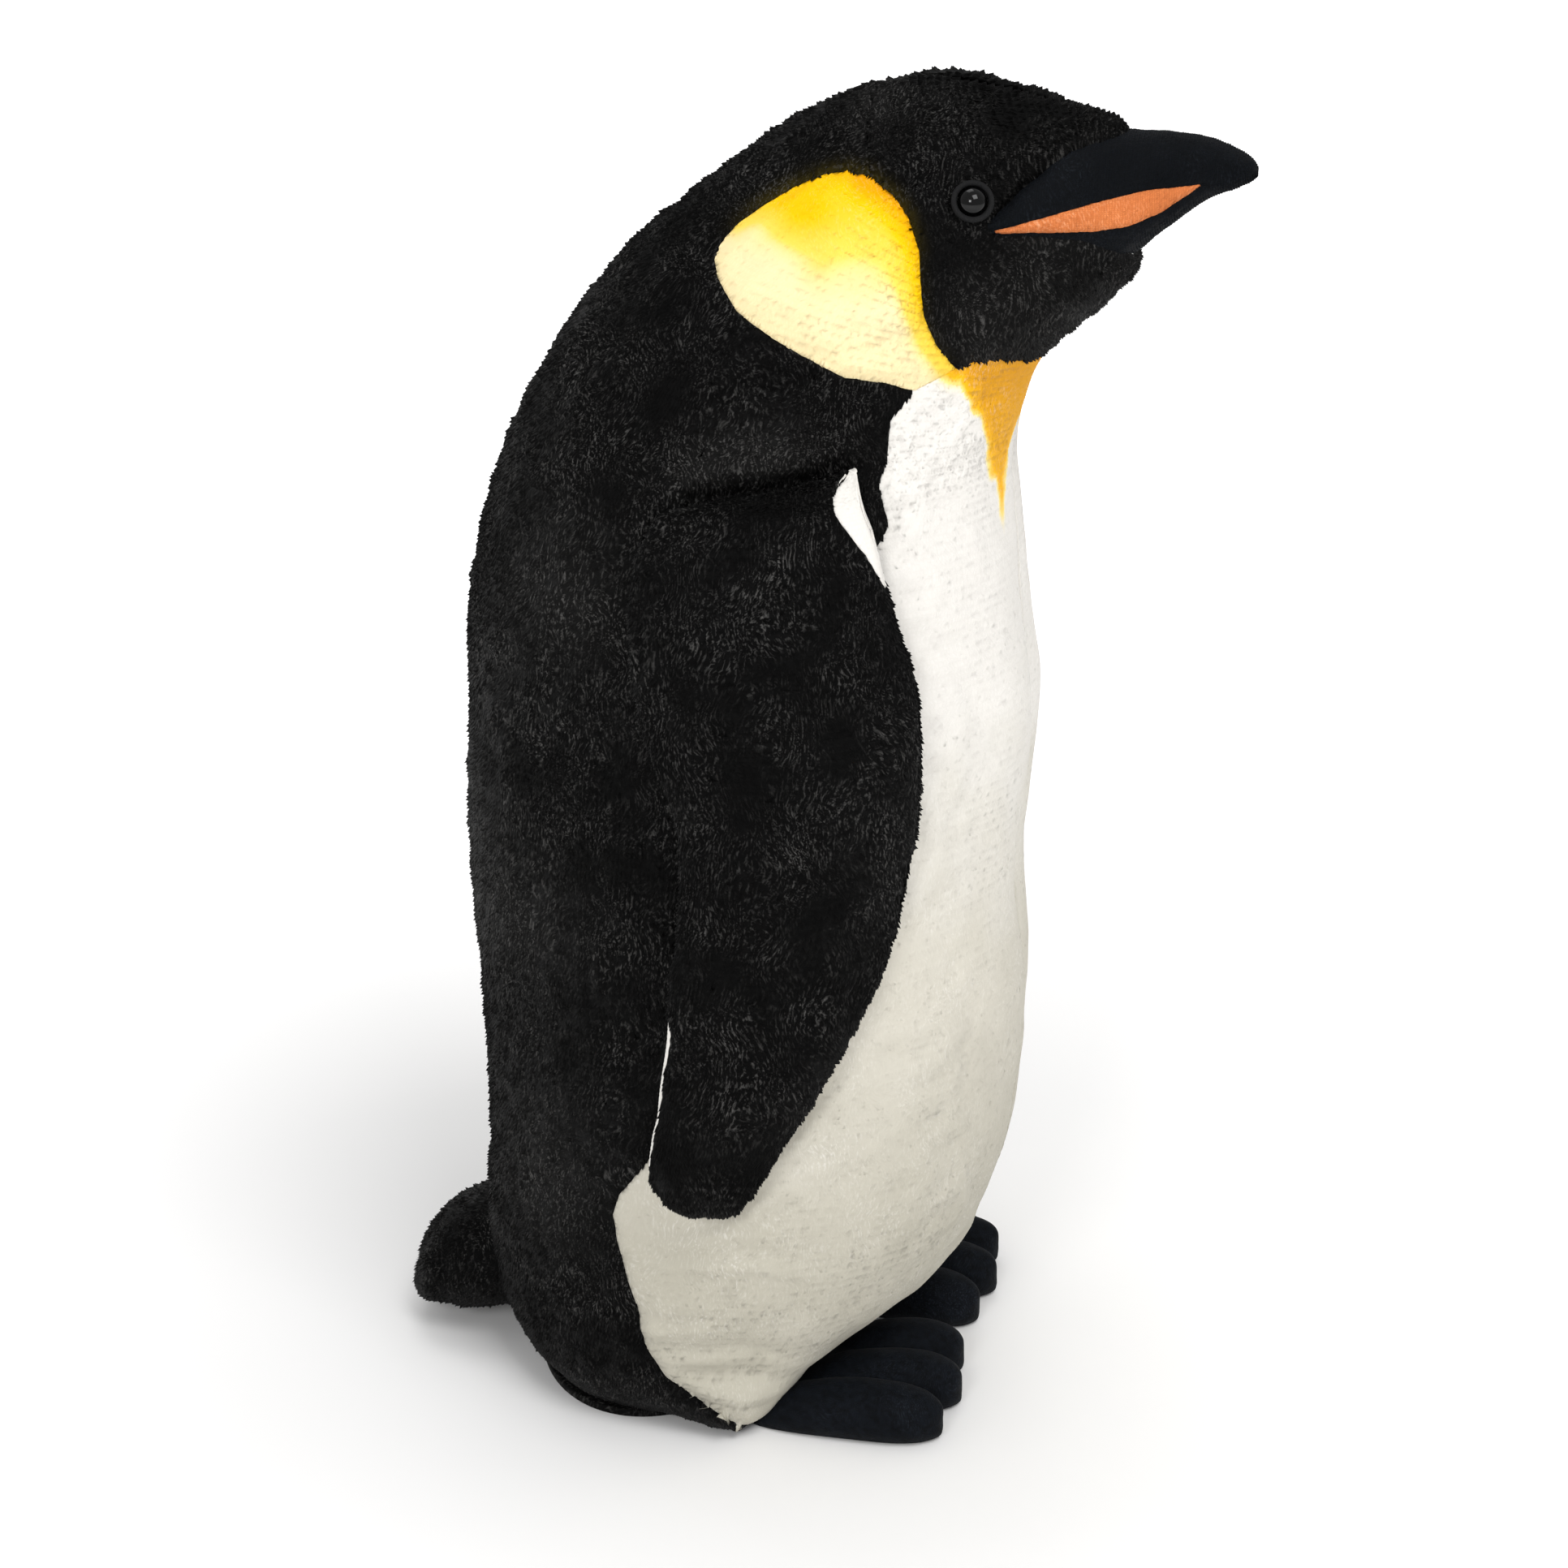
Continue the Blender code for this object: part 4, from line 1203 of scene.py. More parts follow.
    def _swell(self, sheet: ClothSheet, around: tuple[float, float]) -> Points:
        """How the filling swells the cover between its seams.

        Args:
            sheet: The fine sheet of one half.
            around: Turns the half covers.

        Returns:
            One movement per point of the fine sheet.
        """
        cage = ClothSheet(self.form, around, self.stuffing.pitch)
        cage.face_outward(self._middle(cage.places))
        sewn = np.min([seam.nearest(cage.places)[0] for seam in self.SEAMS[:3]], axis=0)
        held = (sewn < 0.6 * self.stuffing.pitch) | (np.abs(cage.places[:, 0]) < 1.0 * MM)
        held |= (cage.places[:, 2] < 0.030) | (cage.places[:, 1] < -0.125)
        swell = self.stuffing.swell(sheet, cage, held)
        y, z = sheet.places[:, 1], sheet.places[:, 2]
        behind_flipper = np.exp(-(((y + 0.045) / 0.060) ** 4 + ((z - 0.290) / 0.160) ** 4))
        at_back = 0.6 * unit((y - 0.020) / 0.050)
        return swell * (1.0 - np.maximum(0.7 * behind_flipper, at_back))[:, None]

    def _middle(self, places: Points) -> Points:
        """Points inside the body level with the given ones."""
        inside = places.copy()
        inside[:, 0] = 0.0
        inside[:, 1] = -0.02
        return inside

    def _beak_level(self, places: Points) -> Points:
        """Below 1 inside the beak's form, above 1 outside it."""
        table = np.array(BEAK_OVALS)[::-1]
        y = places[:, 1]
        top, bottom, half_width = (np.interp(y, table[:, 0], table[:, n]) for n in (1, 2, 3))
        across = places[:, 0] / half_width
        upward = (places[:, 2] - (top + bottom) / 2.0) / ((top - bottom) / 2.0)
        behind = unit((y - BEAK_OVALS[1][0]) / 0.010)
        return across**2 + upward**2 + 2.0 * behind

    def _shape(self, rest: Points, sheet: ClothSheet, side: Side, beak: Points) -> Points:
        """How far the stuffed cloth stands proud of the plain form."""
        lumps = Unevenness(11 if side is Side.LEFT else 12)
        y, z = rest[:, 1], rest[:, 2]
        joins = [seam.nearest(rest)[0] for seam in self.SEAMS]
        distance = np.min(joins[:3], axis=0)
        facing = np.clip(np.abs(sheet.normals[:, 0]) * 2.0, 0.25, 1.0)
        seam = np.exp(-((distance / self.seam_width) ** 2)) * facing
        seam += 0.25 * np.exp(-((joins[3] / self.seam_width) ** 2))
        across = np.abs(rest[:, 0])
        chest = np.exp(-(((z - 0.315) / 0.115) ** 4)) * (y < -0.05)
        valley = np.exp(-((across / 0.008) ** 2)) * (0.4 + 1.1 * chest) * MM
        lobes = 2.6 * MM * chest * np.exp(-(((across - 0.036) / 0.024) ** 2))
        plump = 1.1 * lumps.layered(rest, 0.060, 2) * MM + 0.5 * lumps.layered(rest, 0.020, 2) * MM
        crown = 0.3 * MM * unit(distance / 0.03) - 0.9 * MM * unit(y / 0.060)
        offset = plump + crown + lobes - valley + self._shoulder(rest) + self._folds(rest)
        by_beak = unit((beak - 1.0) / 0.7)
        ledge = np.exp(-(((y + 0.176) / 0.012) ** 2 + ((z - 0.595) / 0.010) ** 2))
        chin = np.exp(-(((y + 0.181) / 0.010) ** 2 + ((z - 0.527) / 0.009) ** 2))
        snug = 1.8 * MM * np.exp(-(((beak - 1.0) / 0.55) ** 2))
        snug = snug * (1.0 - unit(ledge + chin))
        offset = offset * by_beak + (3.0 * ledge + 0.8 * chin) * MM - snug
        return offset - self.sunk - self.seam_depth * seam

    def _shoulder(self, rest: Points) -> Points:
        """The plump roll above each flipper and the crease under it."""
        y, z = rest[:, 1], rest[:, 2]
        table = np.array(FLIPPER_TOP_EDGE)
        top = np.interp(-y, -table[::-1, 1], table[::-1, 0]) + 1.5 * MM
        roll = np.exp(-(((y + 0.036) / 0.029) ** 2 + ((z - 0.4620) / 0.016) ** 2))
        under = unit((z - top) / 0.006)
        crease = np.exp(-(((z - top) / 0.0045) ** 2)) * np.exp(-(((y + 0.036) / 0.036) ** 4))
        return self.roll_height * roll * under - self.crease_depth * crease

    def _folds(self, rest: Points) -> Points:
        """Soft folds that run across the hip and the belly."""
        total = np.zeros(len(rest))
        for y, z, half_length, slope, height in self.FOLDS:
            run = np.array((1.0, slope)) / math.hypot(1.0, slope)
            step = rest[:, 1:3] - (y, z)
            along, across = step @ run, step @ (-run[1], run[0])
            across = across + 3.0 * MM * np.sin(along / 0.012)
            shape = np.exp(-((across / 0.0035) ** 2)) - 0.7 * np.exp(-(((across - 0.007) / 0.004) ** 2))
            total += height * shape * np.exp(-((along / half_length) ** 2))
        return total * unit(np.abs(rest[:, 0]) / 0.02)

    def _skirt(self, rest: Points, side: Side) -> Points:
        """Cloth that sags outward and down over the heel of each foot."""
        near = np.exp(-(
            ((np.abs(rest[:, 0]) - 0.080) / 0.034) ** 2 + ((rest[:, 1] + 0.026) / 0.030) ** 2
            + ((rest[:, 2] - 0.018) / 0.022) ** 2
        ))
        sag = near[:, None] * np.array((side.value * 0.021, -0.008, -0.014))
        sag[:, 2] = np.maximum(sag[:, 2], 0.0030 - rest[:, 2])
        return sag

    def _gloss(self, rest: Points) -> Points:
        """Where highlights are painted on the pile: shoulders, chin and the top of the head."""
        y, z = rest[:, 1], rest[:, 2]
        total = np.zeros(len(rest))
        for centre_y, centre_z, reach in self.GLOSSY:
            total += np.exp(-((y - centre_y) ** 2 + (z - centre_z) ** 2) / reach**2)
        return total

    def _dyes(self, rest: Points) -> dict[str, Points]:
        """Airbrushed colours of the cheek and the throat, painted shade on the low belly and painted
        highlights.
        """
        y, z = rest[:, 1], rest[:, 2]
        cloud = Unevenness(31).layered(rest, 0.030)
        upper = unit((z - 0.528) / 0.050 - (y + 0.060) * 7.0)
        blotch = np.exp(-(((y + 0.050) / 0.018) ** 2 + ((z - 0.560) / 0.010) ** 2))
        front_edge, _ = SideOutline((*CHEEK_FRONT_SEAM, THROAT_CORNER)).nearest(rest)
        top_edge, _ = SideOutline((*CHEEK_BACK_SEAM[8:], CHEEK_FRONT_SEAM[0])).nearest(rest)
        rim = np.exp(-((front_edge / 0.008) ** 2))
        crest = np.exp(-((top_edge / 0.006) ** 2))
        cheek = 0.54 * upper + 0.30 * blotch + 0.42 * rim + 0.16 * crest + 0.08 * cloud
        depth = unit((z - 0.422) / 0.076)
        across = np.abs(rest[:, 0]) + 3.0 * MM * Unevenness(33).layered(rest, 0.010)
        outer = np.interp(z, *self.DYE_OUTER)
        inner = np.interp(z, *self.DYE_INNER)
        painted = unit((outer - across) / self.dye_edge)
        painted = painted * unit((across - inner) / self.dye_edge)
        throat = (0.55 + 0.45 * depth) * painted**0.7
        hem, _ = SideOutline((THROAT_CORNER, *THROAT_SEAM)).nearest(rest)
        throat = np.maximum(throat, 0.75 * np.exp(-((hem / 0.006) ** 2))) + 0.06 * cloud * throat
        # Painted shade: the low belly darkens towards the bottom, with faint cloudy unevenness.
        warm = unit((0.37 - z) / 0.28) * 0.95 + 0.10 * cloud
        edge, _ = self.SEAMS[0].nearest(rest)
        above = unit((z - 0.545) / 0.020) + 0.5 * rim
        halo = np.exp(-((edge / 0.0045) ** 2)) * unit(above) * (z > 0.50)
        masks = {
            "cheek": cheek,
            "throat": throat,
            "warm": warm,
            "halo": 0.24 * halo,
            "gloss": self._gloss(rest),
        }
        return {name: unit(mask) for name, mask in masks.items()}


@dataclass
class Flipper:
    """One flipper: black outer cloth and white lining, sewn round the edge."""

    side: Side
    wardrobe: Wardrobe
    body: BVHTree
    pile: Pile = PLUSH
    wrap: float = 0.034
    leading_wrap: float = 0.130
    top_wrap: float = 0.200
    peek: float = 0.056
    peek_heights: tuple[float, ...] = (0.142, 0.156, 0.222, 0.244)
    cap_height: float = 0.436
    top_wrap_from: float = 0.385
    top_wrap_rise: float = 0.025
    thickness: float = 1.2 * MM
    hinge_across: float = 0.108
    bend_heights: tuple[float, float] = (0.454, 0.420)

    def build(self) -> list[bpy.types.Object]:
        """Make the outer cloth and the lining.

        Returns:
            The two finished pieces.
        """
        sheet = ClothSheet(self._flat_form(), (-0.25, 0.75), self.pile.pitch)
        outer = self._outer_faces(sheet, sheet.places)
        sheet.snap(sheet.label_borders(outer.astype(int)), (SideOutline(LINING_SEAM),))
        flat = sheet.places.copy()
        sheet.settle(self._drape(flat))
        middle = self._drape(flat * (0.0, 1.0, 1.0))
        sheet.face_outward(middle)
        lumps = Unevenness(21 if self.side is Side.LEFT else 22)
        proud = 1.0 * lumps.layered(sheet.places, 0.050, 2) + 0.5 * lumps.layered(sheet.places, 0.018, 2)
        rim = np.exp(-(((1.0 - np.abs(np.cos(2.0 * np.pi * sheet.turns))) / 0.02) ** 2))
        sheet.settle(sheet.places + sheet.normals * ((proud - 0.6 - rim) * MM)[:, None])
        zero = np.zeros(len(flat))
        made = []
        for name, kept, finish, pile, fullness in (
            ("flipper_outer", outer, BLACK, self.pile, 1.0),
            ("flipper_lining", ~outer, WHITE, SHORT_PLUSH, 0.55),
        ):
            node = f"{name}_{self.side.tail}"
            piece = sheet.cut_panel(
                node + "_plush", kept, pile, dict.fromkeys(DYES_AND_PAINTED_LIGHT, zero), self.wardrobe.take(finish),
                thickness=self.thickness, fullness=fullness,
            )
            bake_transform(piece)
            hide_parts(node)
            made.append(piece)
        return made

    def _outer_faces(self, sheet: ClothSheet, flat: Points) -> Points:
        """Faces of the black cloth, which wraps the edge except where the lining shows."""
        turns = sheet.turns[sheet.quads].mean(axis=1)
        centres = flat[sheet.quads].mean(axis=1)
        capped = centres[:, 2] > self.cap_height
        start = np.interp(centres[:, 2], self.peek_heights, (-self.wrap, self.peek, self.peek, -self.wrap))
        rise = unit((centres[:, 2] - self.top_wrap_from) / self.top_wrap_rise)
        start -= self.top_wrap * rise
        outer = capped | ((turns > start) & (turns < 0.5 + self.leading_wrap))
        return outer & ~(SideOutline(LINING_STRIP).holds(centres) & (turns > 0.25))

    def _flat_form(self) -> OvalSweep:
        """The flipper lying flat, before it is laid against the body."""
        table = np.array(FLIPPER_SPANS)
        zero = np.zeros(len(table))
        centres = np.stack([zero, (table[:, 1] + table[:, 2]) / 2.0, table[:, 0]], 1)
        across = np.stack([zero, (table[:, 1] - table[:, 2]) / 2.0, zero], 1)
        upward = np.stack([table[:, 3] / 2.0, zero, zero], 1)
        return OvalSweep(centres, across, upward)

    def _drape(self, flat: Points) -> Points:
        """Lay flat points against the side of the body."""
        table = np.array(FLIPPER_SPANS)[::-1]
        laid = flat.copy()
        for index, (x, y, z) in enumerate(flat):
            point, _, _, _ = self.body.ray_cast(Vector((FAR, y, z)), Vector((-1.0, 0.0, 0.0)))
            thickness = np.interp(z, table[:, 0], table[:, 3])
            laid[index, 0] = self.side.value * (x + point.x + FLIPPER_CLEARANCE + thickness / 2.0)
        return laid


@dataclass
class Tail:
    """The wedge tail, upper and lower cloth."""

    wardrobe: Wardrobe
    pile: Pile = TAIL_PLUSH

    def build(self) -> list[bpy.types.Object]:
        """Make both pieces.

        Returns:
            The two finished pieces.
        """
        form = OvalSweep.from_ovals(TAIL_OVALS)
        made = []
        for name, around in (("tail_upper", (0.0, 0.5)), ("tail_lower", (0.5, 1.0))):
            sheet = ClothSheet(form, around, self.pile.pitch, along=(0.12, 1.0))
            middle = sheet.places.copy()
            middle[:, 0] *= 0.0
            middle[:, 2] = np.interp(middle[:, 1], *TAIL_SEAM_HEIGHTS)
            sheet.face_outward(middle)
            lumps = Unevenness(41)
            folds = np.sin(sheet.places[:, 1] / 0.0042 + 3.0 * lumps.at(sheet.places, 0.03))
            proud = 0.6 * MM * folds + 0.6 * MM * lumps.layered(sheet.places, 0.02, 2)
            sheet.settle(sheet.places + sheet.normals * (proud - 1.2 * MM)[:, None])
            zero = np.zeros(len(sheet.places))
            piece = sheet.cut_panel(
                name + "_plush", np.ones(len(sheet.quads), bool), self.pile,
                dict.fromkeys(DYES_AND_PAINTED_LIGHT, zero), self.wardrobe.take(BLACK), thickness=1.5 * MM,
            )
            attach(piece, "tail")
            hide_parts(name)
            made.append(piece)
        return made


@dataclass
class Beak:
    """The velour beak: upper and lower mandible with an orange stripe on each side."""

    wardrobe: Wardrobe
    pile: Pile = VELOUR

    UPPER, LOWER, STRIPE = range(3)

    def build(self) -> list[bpy.types.Object]:
        """Make the four pieces.

        Returns:
            The finished pieces.
        """
        form = OvalSweep.from_ovals(BEAK_OVALS)
        sheet = ClothSheet(form, (-0.25, 0.75), self.pile.pitch)
        middle = sheet.places.copy()
        middle[:, 0] = 0.0
        table = np.array(BEAK_OVALS)[::-1]
        middle[:, 2] = np.interp(middle[:, 1], table[:, 0], table[:, 1:3].mean(axis=1))
        sheet.face_outward(middle)
        centres = sheet.face_centres()
        stripe = SideOutline(STRIPE_OUTLINE).holds(centres) & (np.abs(centres[:, 0]) > 2.0 * MM)
        lower = SideOutline(BEAK_LOWER_OUTLINE).holds(centres) & ~stripe
        labels = np.where(stripe, self.STRIPE, np.where(lower, self.LOWER, self.UPPER))
        top = SideOutline(STRIPE_TOP)
        bottom = SideOutline((STRIPE_TOP[-1], *STRIPE_BOTTOM))
        sheet.snap(sheet.label_borders(labels), (top, bottom))
        lumps = Unevenness(51)
        distance = np.minimum(top.nearest(sheet.places)[0], bottom.nearest(sheet.places)[0])
        proud = 0.5 * MM + 0.25 * MM * lumps.layered(sheet.places, 0.012, 2)
        proud -= 0.8 * MM * np.exp(-((distance / 0.0013) ** 2))
        sheet.settle(sheet.places + sheet.normals * proud[:, None])
        zero = np.zeros(len(sheet.places))
        dyes = dict.fromkeys(DYES_AND_PAINTED_LIGHT, zero)
        left = centres[:, 0] > 0.0
        made = []
        for name, kept, finish, slot in (
            ("beak_upper", labels == self.UPPER, NAVY, "navy_velour"),
            ("beak_lower", labels == self.LOWER, NAVY, "navy_velour"),
            ("beak_stripe_left", (labels == self.STRIPE) & left, ORANGE, "orange_velour"),
            ("beak_stripe_right", (labels == self.STRIPE) & ~left, ORANGE, "orange_velour"),
        ):
            piece = sheet.cut_panel(
                name + "_velour", kept, self.pile, dyes, self.wardrobe.take(finish), thickness=1.0 * MM,
            )
            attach(piece, "torso")
            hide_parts(name)
            made.append(piece)
        return made


@dataclass
class Foot:
    """One foot: three plump toes of velour on a flat sole."""

    side: Side
    wardrobe: Wardrobe
    voxel: float = 1.3 * MM
    toe_rows: int = 40
    toe_columns: int = 28
    floor: float = 0.0002
    top: float = 0.05

    def build(self) -> list[bpy.types.Object]:
        """Make the upper and the sole.

        Returns:
            The two finished pieces.
        """
        whole = self._joined()
        made = []
        for name, low, high in (
            ("foot_upper", SOLE, self.top),
            ("foot_sole", self.floor, SOLE),
        ):
            node = f"{name}_{self.side.tail}"
            mesh = whole.copy()
            mesh.name = node + "_velour"
            self._slice(mesh, low, high)
            mesh.materials.append(self.wardrobe.take(NAVY))
            piece = link_piece(node + "_velour", mesh)
            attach(piece, f"foot_{self.side.tail}")
            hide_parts(node)
            made.append(piece)
        bpy.data.meshes.remove(whole)
        return made

    def _joined(self) -> bpy.types.Mesh:
        """Toes and instep grown together into one soft form."""
        shape = bmesh.new()
        for toe in TOES:
            self._add_toe(shape, toe)
        centre = (self.side.value * INSTEP_CENTRE[0], *INSTEP_CENTRE[1:])
        bmesh.ops.create_uvsphere(
            shape, u_segments=32, v_segments=20, radius=1.0,
            matrix=Matrix.Translation(centre) @ Matrix.Diagonal(INSTEP_RADII).to_4x4(),
        )
        bmesh.ops.recalc_face_normals(shape, faces=shape.faces)
        rough = bpy.data.meshes.new("foot_rough")
        shape.to_mesh(rough)
        shape.free()
        holder = link_piece("foot_rough", rough)
        remesh = holder.modifiers.new("grow", "REMESH")
        remesh.mode = "VOXEL"
        remesh.voxel_size = self.voxel
        graph = bpy.context.evaluated_depsgraph_get()
        mesh = bpy.data.meshes.new_from_object(holder.evaluated_get(graph))
        bpy.data.objects.remove(holder)
        bpy.data.meshes.remove(rough)
        shape = bmesh.new()
        shape.from_mesh(mesh)
        for _ in range(2):
            bmesh.ops.smooth_vert(
                shape, verts=shape.verts, factor=0.5, use_axis_x=True, use_axis_y=True, use_axis_z=True,
            )
        shape.to_mesh(mesh)
        shape.free()
        return mesh

    def _add_toe(self, shape: bmesh.types.BMesh, toe: tuple[float, float, float, float]) -> None:
        """Add one toe as a closed sweep."""
        heel = np.array([self.side.value * toe[0], toe[1], 0.0])
        tip = np.array([self.side.value * toe[2], toe[3], 0.0])
        profile = np.array(TOE_SHAPE)
        centres = heel + profile[:, :1] * (tip - heel)
        centres[:, 2] = (profile[:, 2] - 0.003) / 2.0 + 0.005 * profile[:, 0] ** 10
        zero = np.zeros(len(profile))
        across = np.stack([profile[:, 1] * TOE_HALF_WIDTH, zero, zero], 1)
        upward = np.stack([zero, zero, (profile[:, 2] + 0.003) / 2.0], 1)
        form = OvalSweep(centres, across, upward)
        made = bmesh.ops.create_grid(
            shape, x_segments=self.toe_columns, y_segments=self.toe_rows, size=1.0,
        )["verts"]
        flat = np.array([vert.co for vert in made])
        places = form.points((flat[:, 0] + 1.0) / 2.0, (flat[:, 1] + 1.0) / 2.0)
        for vert, place in zip(made, places):
            vert.co = Vector(place)
        bmesh.ops.remove_doubles(shape, verts=made, dist=1e-6)
        ends = [edge for edge in shape.edges if edge.is_boundary]
        bmesh.ops.holes_fill(shape, edges=ends, sides=0)

    def _slice(self, mesh: bpy.types.Mesh, low: float, high: float) -> None:
        """Keep the part of the foot between two heights, closed."""
        shape = bmesh.new()
        shape.from_mesh(mesh)
        for height, outward in ((low, -1.0), (high, 1.0)):
            cut = bmesh.ops.bisect_plane(
                shape, geom=[*shape.verts, *shape.edges, *shape.faces],
                plane_co=(0.0, 0.0, height), plane_no=(0.0, 0.0, outward), clear_outer=True,
            )
            rim = [item for item in cut["geom_cut"] if isinstance(item, bmesh.types.BMEdge)]
            if rim:
                bmesh.ops.holes_fill(shape, edges=rim, sides=0)
        bmesh.ops.triangulate(shape, faces=[face for face in shape.faces if len(face.verts) > 4])
        bmesh.ops.recalc_face_normals(shape, faces=shape.faces)
        shape.to_mesh(mesh)
        shape.free()
        places = read_vectors(mesh, "co")
        normals = read_vectors(mesh, "normal")
        lumps = Unevenness(61 if self.side is Side.LEFT else 62)
        proud = 0.35 * MM * lumps.layered(places, 0.010, 3)
        proud *= unit((places[:, 2] - SOLE) / 0.003)
        mesh.vertices.foreach_set("co", (places + normals * proud[:, None]).ravel())
        write(mesh, "tip", unit(0.6 + 0.8 * lumps.at(places, 0.0016)))
        mesh.polygons.foreach_set("use_smooth", np.ones(len(mesh.polygons), bool))
        mesh.update()


@dataclass
class Eye:
    """A glossy dome on a matte rim."""

    side: Side
    wardrobe: Wardrobe
    steps: int = 48
    dome_radius: float = 0.0062
    dome_rise: float = 0.0054
    dome_base: float = 0.0014
    stem_radius: float = 0.0020
    stem_end: float = -0.0120
    rim_radius: float = 0.0078
    rim_height: float = 0.0024
    rim_half_width: float = 0.0012
    rim_half_height: float = 0.0014
    sunk: float = 0.0023
    stem_reach: float = 0.006

    def build(self) -> list[bpy.types.Object]:
        """Make dome and rim.

        Returns:
            The two finished pieces.
        """
        frame_at_eye = self._frame()
        dome = [
            (self.dome_radius * math.sin(angle), self.dome_base + self.dome_rise * math.cos(angle))
            for angle in np.linspace(0.0, math.pi / 2.0, 14)
        ]
        dome += [
            (self.stem_radius, self.dome_base), (self.stem_radius, self.stem_end), (0.0, self.stem_end),
        ]
        rim = [
            (
                self.rim_radius + self.rim_half_width * math.cos(angle),
                self.rim_height + self.rim_half_height * math.sin(angle),
            )
            for angle in np.linspace(0.0, 2.0 * math.pi, 17)[:-1]
        ]
        made = []
        for name, profile, closed, finish, slot in (
            ("eye", dome, False, EYE, "eye_plastic"),
            ("eye_rim", rim, True, FELT, "eye_rim_felt"),
        ):
            node = f"{name}_{self.side.tail}"
            piece = self._spun(node + "_detail", profile, closed, frame_at_eye, finish)
            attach(piece, "torso")
            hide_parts(node)
            made.append(piece)
        return made

    def _frame(self) -> Matrix:
        """Frame on the cloth with Z along the eye's axis, from the CAD eye."""
        low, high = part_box(f"eye_rim_{self.side.tail}")
        centre = (low + high) / 2.0
        points = [vert.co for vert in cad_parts[f"eye_{self.side.tail}"].data.vertices]
        inner = min(points, key=lambda point: self.side.value * point.x)
        near = [point for point in points if (point - inner).length < self.stem_reach]
        tail = sum(near, Vector()) / len(near)
        axis = (centre - tail).normalized()
        matrix = axis.to_track_quat("Z", "Y").to_matrix().to_4x4()
        matrix.translation = centre - axis * self.sunk
        return matrix

    def _spun(
        self,
        name: str,
        profile: list[tuple[float, float]],
        closed: bool,
        at: Matrix,
        finish: PlushFinish | PlasticFinish,
    ) -> bpy.types.Object:
        """Spin a profile into a finished piece.

        Args:
            name: Name of the piece.
            profile: The (radius, height) points.
            closed: Whether the last point joins the first.
            at: Frame whose Z is the axis.
            finish: The piece's finish.

        Returns:
            The finished piece.
        """
        shape = bmesh.new()
        points = [shape.verts.new((radius, 0.0, height)) for radius, height in profile]
        edges = [shape.edges.new(pair) for pair in zip(points, points[1:])]
        if closed:
            edges.append(shape.edges.new((points[-1], points[0])))
        bmesh.ops.spin(
            shape, geom=points + edges, cent=(0, 0, 0), axis=(0, 0, 1), angle=2.0 * math.pi,
            steps=self.steps, use_merge=True,
        )
        bmesh.ops.remove_doubles(shape, verts=shape.verts, dist=1e-6)
        bmesh.ops.recalc_face_normals(shape, faces=shape.faces)
        shape.transform(at)
        mesh = bpy.data.meshes.new(name)
        shape.to_mesh(mesh)
        shape.free()
        mesh.polygons.foreach_set("use_smooth", np.ones(len(mesh.polygons), bool))
        write(mesh, "tip", np.ones(len(mesh.vertices)))
        mesh.materials.append(self.wardrobe.take(finish))
        return link_piece(name, mesh)


@dataclass
class BasePanel:
    """The cloth disc the body stands on."""

    wardrobe: Wardrobe
    rim: float = 1.2 * MM

    def build(self) -> bpy.types.Object:
        """Make the disc.

        Returns:
            The finished disc.
        """
        low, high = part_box("base_panel")
        middle = (low + high) / 2.0
        size = high - low
        shape = bmesh.new()
        bmesh.ops.create_cone(
            shape, cap_ends=True, segments=96, radius1=0.5, radius2=0.5, depth=1.0,
            matrix=Matrix.Translation(middle) @ Matrix.Diagonal((*size, 1.0)),
        )
        rim_edges = [
            edge for edge in shape.edges if abs(edge.verts[0].co.z - edge.verts[1].co.z) < 1e-6
        ]
        bmesh.ops.bevel(
            shape, geom=rim_edges, offset=self.rim, affect="EDGES", segments=3, profile=0.5, material=-1,
        )
        bmesh.ops.recalc_face_normals(shape, faces=shape.faces)
        mesh = bpy.data.meshes.new("base_panel_cloth")
        shape.to_mesh(mesh)
        shape.free()
        write(mesh, "tip", np.full(len(mesh.vertices), 0.5))
        mesh.materials.append(self.wardrobe.take(BLACK))
        piece = link_piece("base_panel_cloth", mesh)
        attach(piece, "torso")
        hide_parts("base_panel")
        return piece


@dataclass
class HiddenParts:
    """Filling, pellet bag and washers: the CAD nodes that stay, with their finishes."""

    wardrobe: Wardrobe

    FINISHES = (
        ("stuffing", FILLING), ("pellet_bag", PELLET_CLOTH), ("eye_washer", WASHER),
    )

    def dress(self) -> int:
        """Give each carried-over node its finish.

        Returns:
            How many nodes were dressed.
        """
        count = 0
        for name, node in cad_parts.items():
            for word, finish in self.FINISHES:
                if word in name:
                    node.data.materials.clear()
                    node.data.materials.append(self.wardrobe.take(finish))
                    count += 1
        return count


